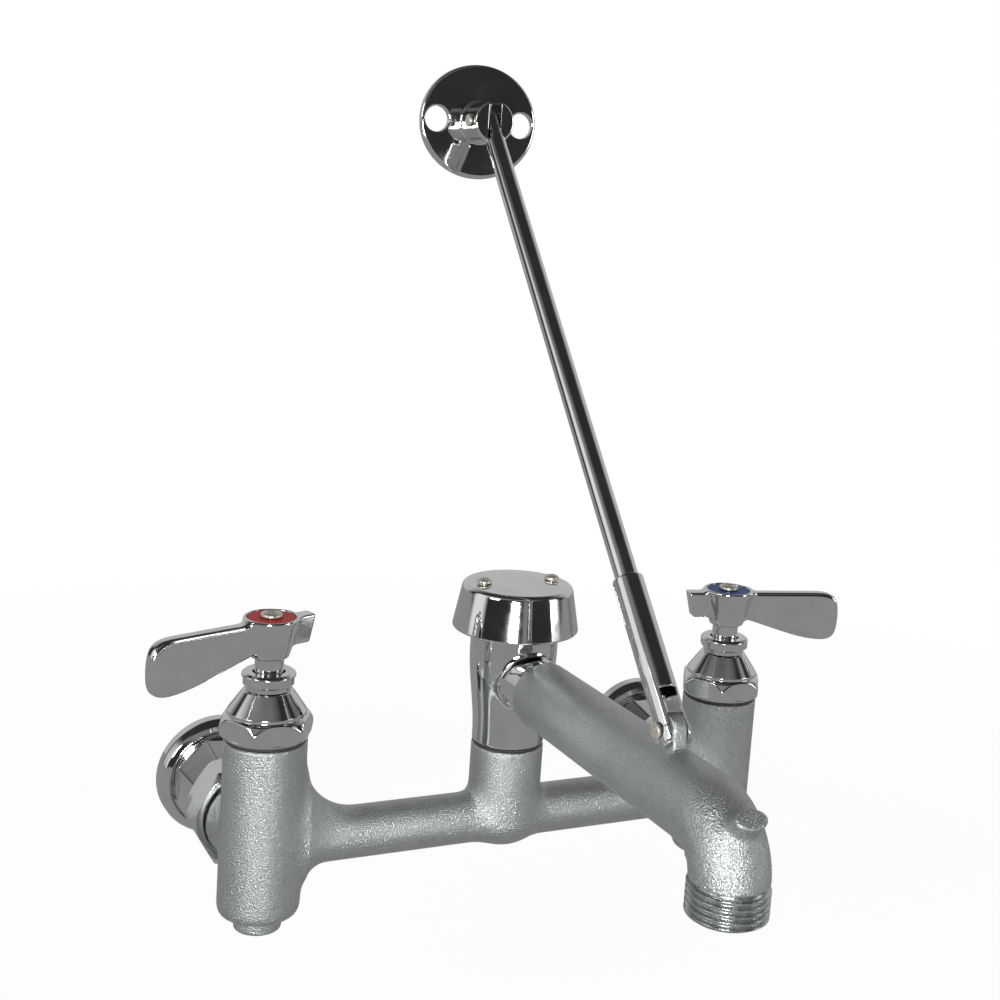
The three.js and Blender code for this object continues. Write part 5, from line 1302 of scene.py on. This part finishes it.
reach = BRACE_SIZES["Sleeve radius"] + BRACE_MARGIN
space = column(reach, -reach, SLEEVE_LENGTH + 1)
sleeve = skin("sleeve_barrel", sleeve_form, BRACE_SIZES, *space, BRACE_STEP, MIRROR, ALONG_BRACE)
dress(sleeve, "brace_fork", "polished_chrome", "brace_sleeve")
reach = BRACE_SIZES["Rod radius"] + BRACE_MARGIN
space = column(reach, ROD_START - 1, BRACE_LENGTH + reach)
steps = (BRACE_STEP, BRACE_STEP, 2 * BRACE_STEP)
rod = skin("rod_bar", rod_form, BRACE_SIZES, *space, steps, MIRROR, ALONG_BRACE)
dress(rod, "brace_bar", "polished_chrome", "brace_rod")

# %% Pins
PIN_HEAD_RADIUS = 2.8
PIN_HEAD_HEIGHT = 1.2


def add_pin(name, node, body, centre):
    """A rivet along X, with its head on the left."""
    low, high = box_mm(node)
    half = (high.x - low.x) / 2
    neck = -half + PIN_HEAD_HEIGHT
    outline = [
        (0, -half), (PIN_HEAD_RADIUS, -half, 0.8), (PIN_HEAD_RADIUS, neck, FINE_EDGE),
        (PIN_RADIUS, neck), (PIN_RADIUS, half, 0.5), (0, half),
    ]
    middle = Matrix.Translation(((high.x + low.x) / 2, centre.y, centre.z))
    place = middle @ Matrix.Rotation(math.pi / 2, 4, "Y")
    dress(turned(name, outline, STEEL, place, 64), body, "steel", node)


add_pin("lug_rivet", "brace_lower_pin", "brace_fork", LUG_PIN)
add_pin("wall_rivet", "brace_upper_pin", "brace_plate", WALL_PIN)

# %% [markdown]
# ## The wall flange
#
# The flange is a mirror-bright oval plate with two screw holes and a hub that is slotted for the
# tongue of the rod. From in front it reflects the dark room, which is why it looks almost black.

# %% Wall flange
FLANGE_LOW, FLANGE_HIGH = box_mm("wall_flange")
PLATE_SIZES = {
    "Half width": (FLANGE_HIGH.x - FLANGE_LOW.x) / 2,
    "Half height": (FLANGE_HIGH.z - FLANGE_LOW.z) / 2,
    "Plate thickness": 3.0,
    "Hub radius": 8.8,
    "Hub length": FLANGE_HIGH.y - FLANGE_LOW.y,
    "Hole radius": 5.4,
    "Hole offset": 19.5,
}
HUB_SLOT_FLOOR = 8.0
HUB_SLOT_WIDTH = 5.3


def flange_form(x, y, z, size):
    reach = hypot(x, y)
    oval = (hypot(x / size["Half width"], y / size["Half height"]) - 1) * size["Half height"]
    plate = within(within(oval, z - size["Plate thickness"], 1.2), -z, FINE_EDGE)
    hub = within(within(reach - size["Hub radius"], z - size["Hub length"], 0.7), -z)
    metal = within(join(plate, hub, 0.5), -z)  # keeps the back flat against the wall
    slot = within(abs(x) - HUB_SLOT_WIDTH / 2, HUB_SLOT_FLOOR - z)
    hole = hypot(abs(x) - size["Hole offset"], y) - size["Hole radius"]
    pin_hole = within(hypot(y, z + WALL_PIN.y), abs(x) - size["Hub radius"] - 1) - PIN_RADIUS - PIN_GAP
    return without(without(without(metal, slot), hole, 0.4), pin_hole, FINE_EDGE)


place = Matrix.Translation((0, 0, WALL_PIN.z)) @ Matrix.Rotation(math.pi / 2, 4, "X")
space = column(PLATE_SIZES["Half width"] + 1, -1, PLATE_SIZES["Hub length"] + 1)
piece = skin("wall_plate", flange_form, PLATE_SIZES, *space, 0.42, MIRROR, place)
dress(piece, "brace_plate", "polished_chrome", "wall_flange")

# %% [markdown]
# ## The pieces inside
#
# Seats, washers, holders, packing and the float never show, but they belong to the faucet. Their
# solids stay as they are, and each of their material slots takes the finish listed for the piece.

# %% Inner pieces
VALVE_INNER = {
    "packing_ring": RUBBER, "valve_seat": BRASS, "seat_washer": RUBBER, "washer_holder": BRASS,
    "washer_screw": BRASS, "coupling_washer": FIBRE,
}
BREAKER_INNER = {"float_seal": RUBBER, "float_disc": BRASS, "vent_cap": BRASS}


def finish_node(node, finish):
    for slot in frame["nodes"][node].material_slots:
        slot.link = "OBJECT"
        slot.material = finish


for valve in VALVES:
    for name, finish in VALVE_INNER.items():
        finish_node(f"{valve}_{name}", finish)
for node, finish in BREAKER_INNER.items():
    finish_node(node, finish)

# %% [markdown]
# ## Floor, room and lamps
#
# The photograph's background is pure white, yet the chrome reflects a dark room with a few pale
# patches. So the world answers each kind of ray by what it asks for: the camera sees white, the
# lighting is an even grey, and a reflection sees a studio, with a pale sweep behind the faucet and
# the dim room in front of it. Soft lamps give the highlights.

# %% World
# A patch of the room is (middle, width, edge) of its angle in degrees, the same of its height as a
# share of straight up, and its brightness. Angle 0 is towards the camera and 90 to the right.
LEFT_WINDOW = ((-78, 30, 10), (0.1, 0.9, 0.2), 0.85)
RIGHT_WINDOW = ((84, 16, 8), (0.1, 0.9, 0.2), 0.6)
DOOR = ((20, 8, 4), (0.1, 0.6, 0.2), 0.2)
CEILING = ((-15, 120, 40), (0.66, 0.26, 0.14), 0.20)
TABLE_GLOW = (20, 60, 25)
ROOM_GREY = 0.03
LIGHTING_GREY = 0.55
WHITE = (1, 1, 1, 1)


def band(place, middle, width, edge):
    """1 within a stretch, falling to 0 over an edge on both sides."""
    return ((width / 2 - abs(place - middle)) / edge + 0.5).clamp()


def studio(x, y, z):
    """Brightness of the room in a direction."""
    away = x * math.sin(CAMERA_AZIMUTH) + y * math.cos(CAMERA_AZIMUTH)
    right = x * math.cos(CAMERA_AZIMUTH) - y * math.sin(CAMERA_AZIMUTH)
    angle = right.math("ARCTAN2", -away) * (180 / math.pi)
    low = ((0.82 - z) / 0.3).clamp()
    backdrop = ((abs(angle) - 105) / 20).clamp() * low * 0.50
    front = ((-z - 0.12) / 0.2).clamp() * (0.30 + band(angle, *TABLE_GLOW) * 0.12)
    ceiling, *pale = (
        band(angle, *across) * band(z, *tall) * bright
        for across, tall, bright in (CEILING, LEFT_WINDOW, RIGHT_WINDOW, DOOR)
    )
    for patch in pale:
        front = front + patch
    return ROOM_GREY + backdrop + ceiling + front * (1 - backdrop * 2).clamp()


def empty_graph(owner):
    """The tree of a world or a material, with none of its first nodes."""
    owner.use_nodes = True
    owner.node_tree.nodes.clear()
    return Graph(owner.node_tree)


def ray_tests(graph):
    """1 or 0: whether the camera sees a place straight, and whether a reflection does."""
    path = graph.tree.nodes.new("ShaderNodeLightPath")
    return [Value(graph, path.outputs[kind]) for kind in ("Is Camera Ray", "Is Glossy Ray")]


def make_world():
    world = bpy.data.worlds.new("studio")
    bpy.context.scene.world = world
    graph = empty_graph(world)
    seen, mirrored = ray_tests(graph)
    room = studio(*graph.axes(graph.node("ShaderNodeTexCoord", output="Generated")))
    strength = choose(seen, 1.0, choose(mirrored, room, LIGHTING_GREY))
    light = graph.node("ShaderNodeBackground", None, {"Color": WHITE, "Strength": strength})
    graph.end("ShaderNodeOutputWorld", light)


# %% Floor and lamps
FLOOR_DROP = 0.06
FLOOR_RADIUS = 6.0
NEAR_WHITE = 0.93  # share of plain white near the faucet, so that its shadow stays faint
NEAR_RADIUS = 0.35
FADE = 0.5


def make_floor():
    mesh = bpy.data.meshes.new("floor")
    work = bmesh.new()
    bmesh.ops.create_circle(work, cap_ends=True, radius=FLOOR_RADIUS, segments=64)
    work.to_mesh(mesh)
    work.free()
    floor = add_object("floor", mesh)
    floor.location.z = CAD_BOX[0][2] - FLOOR_DROP
    material = bpy.data.materials.new("pale_floor")
    graph = empty_graph(material)
    seen, mirrored = ray_tests(graph)
    x, y, _ = graph.axes(graph.node("ShaderNodeTexCoord", output="Object"))
    far = ((hypot(x, y + 0.1) - NEAR_RADIUS) / FADE).clamp()
    matt = graph.node("ShaderNodeBsdfDiffuse", None, {"Color": (0.9, 0.9, 0.9, 1)})
    white = graph.node("ShaderNodeEmission", None, {"Color": WHITE, "Strength": 1.0})
    dim = graph.node("ShaderNodeEmission", None, {"Color": WHITE, "Strength": 0.3})
    share = seen * (NEAR_WHITE + far * (1 - NEAR_WHITE))
    mixed = graph.node("ShaderNodeMixShader", None, {0: share, 1: matt, 2: white})
    mixed = graph.node("ShaderNodeMixShader", None, {0: mirrored, 1: mixed, 2: dim})
    graph.end("ShaderNodeOutputMaterial", mixed)
    mesh.materials.append(material)


def add_lamp(name, place, size, power):
    """A square soft lamp that points at the middle of the faucet."""
    data = bpy.data.lights.new(name, "AREA")
    data.size = size
    data.energy = power
    lamp = add_object(name, data)
    turn = (Vector((0, -0.1, 0.1)) - Vector(place)).to_track_quat("-Z", "Y")
    lamp.matrix_world = Matrix.Translation(place) @ turn.to_matrix().to_4x4()


make_world()
make_floor()
add_lamp("key", (-0.40, -0.85, 0.16), 0.2, 5.5)
add_lamp("left", (-1.3, -0.5, 0.6), 0.5, 4.0)
add_lamp("right", (1.1, -0.9, 0.3), 0.4, 2.0)
bpy.context.scene.view_settings.view_transform = "Standard"
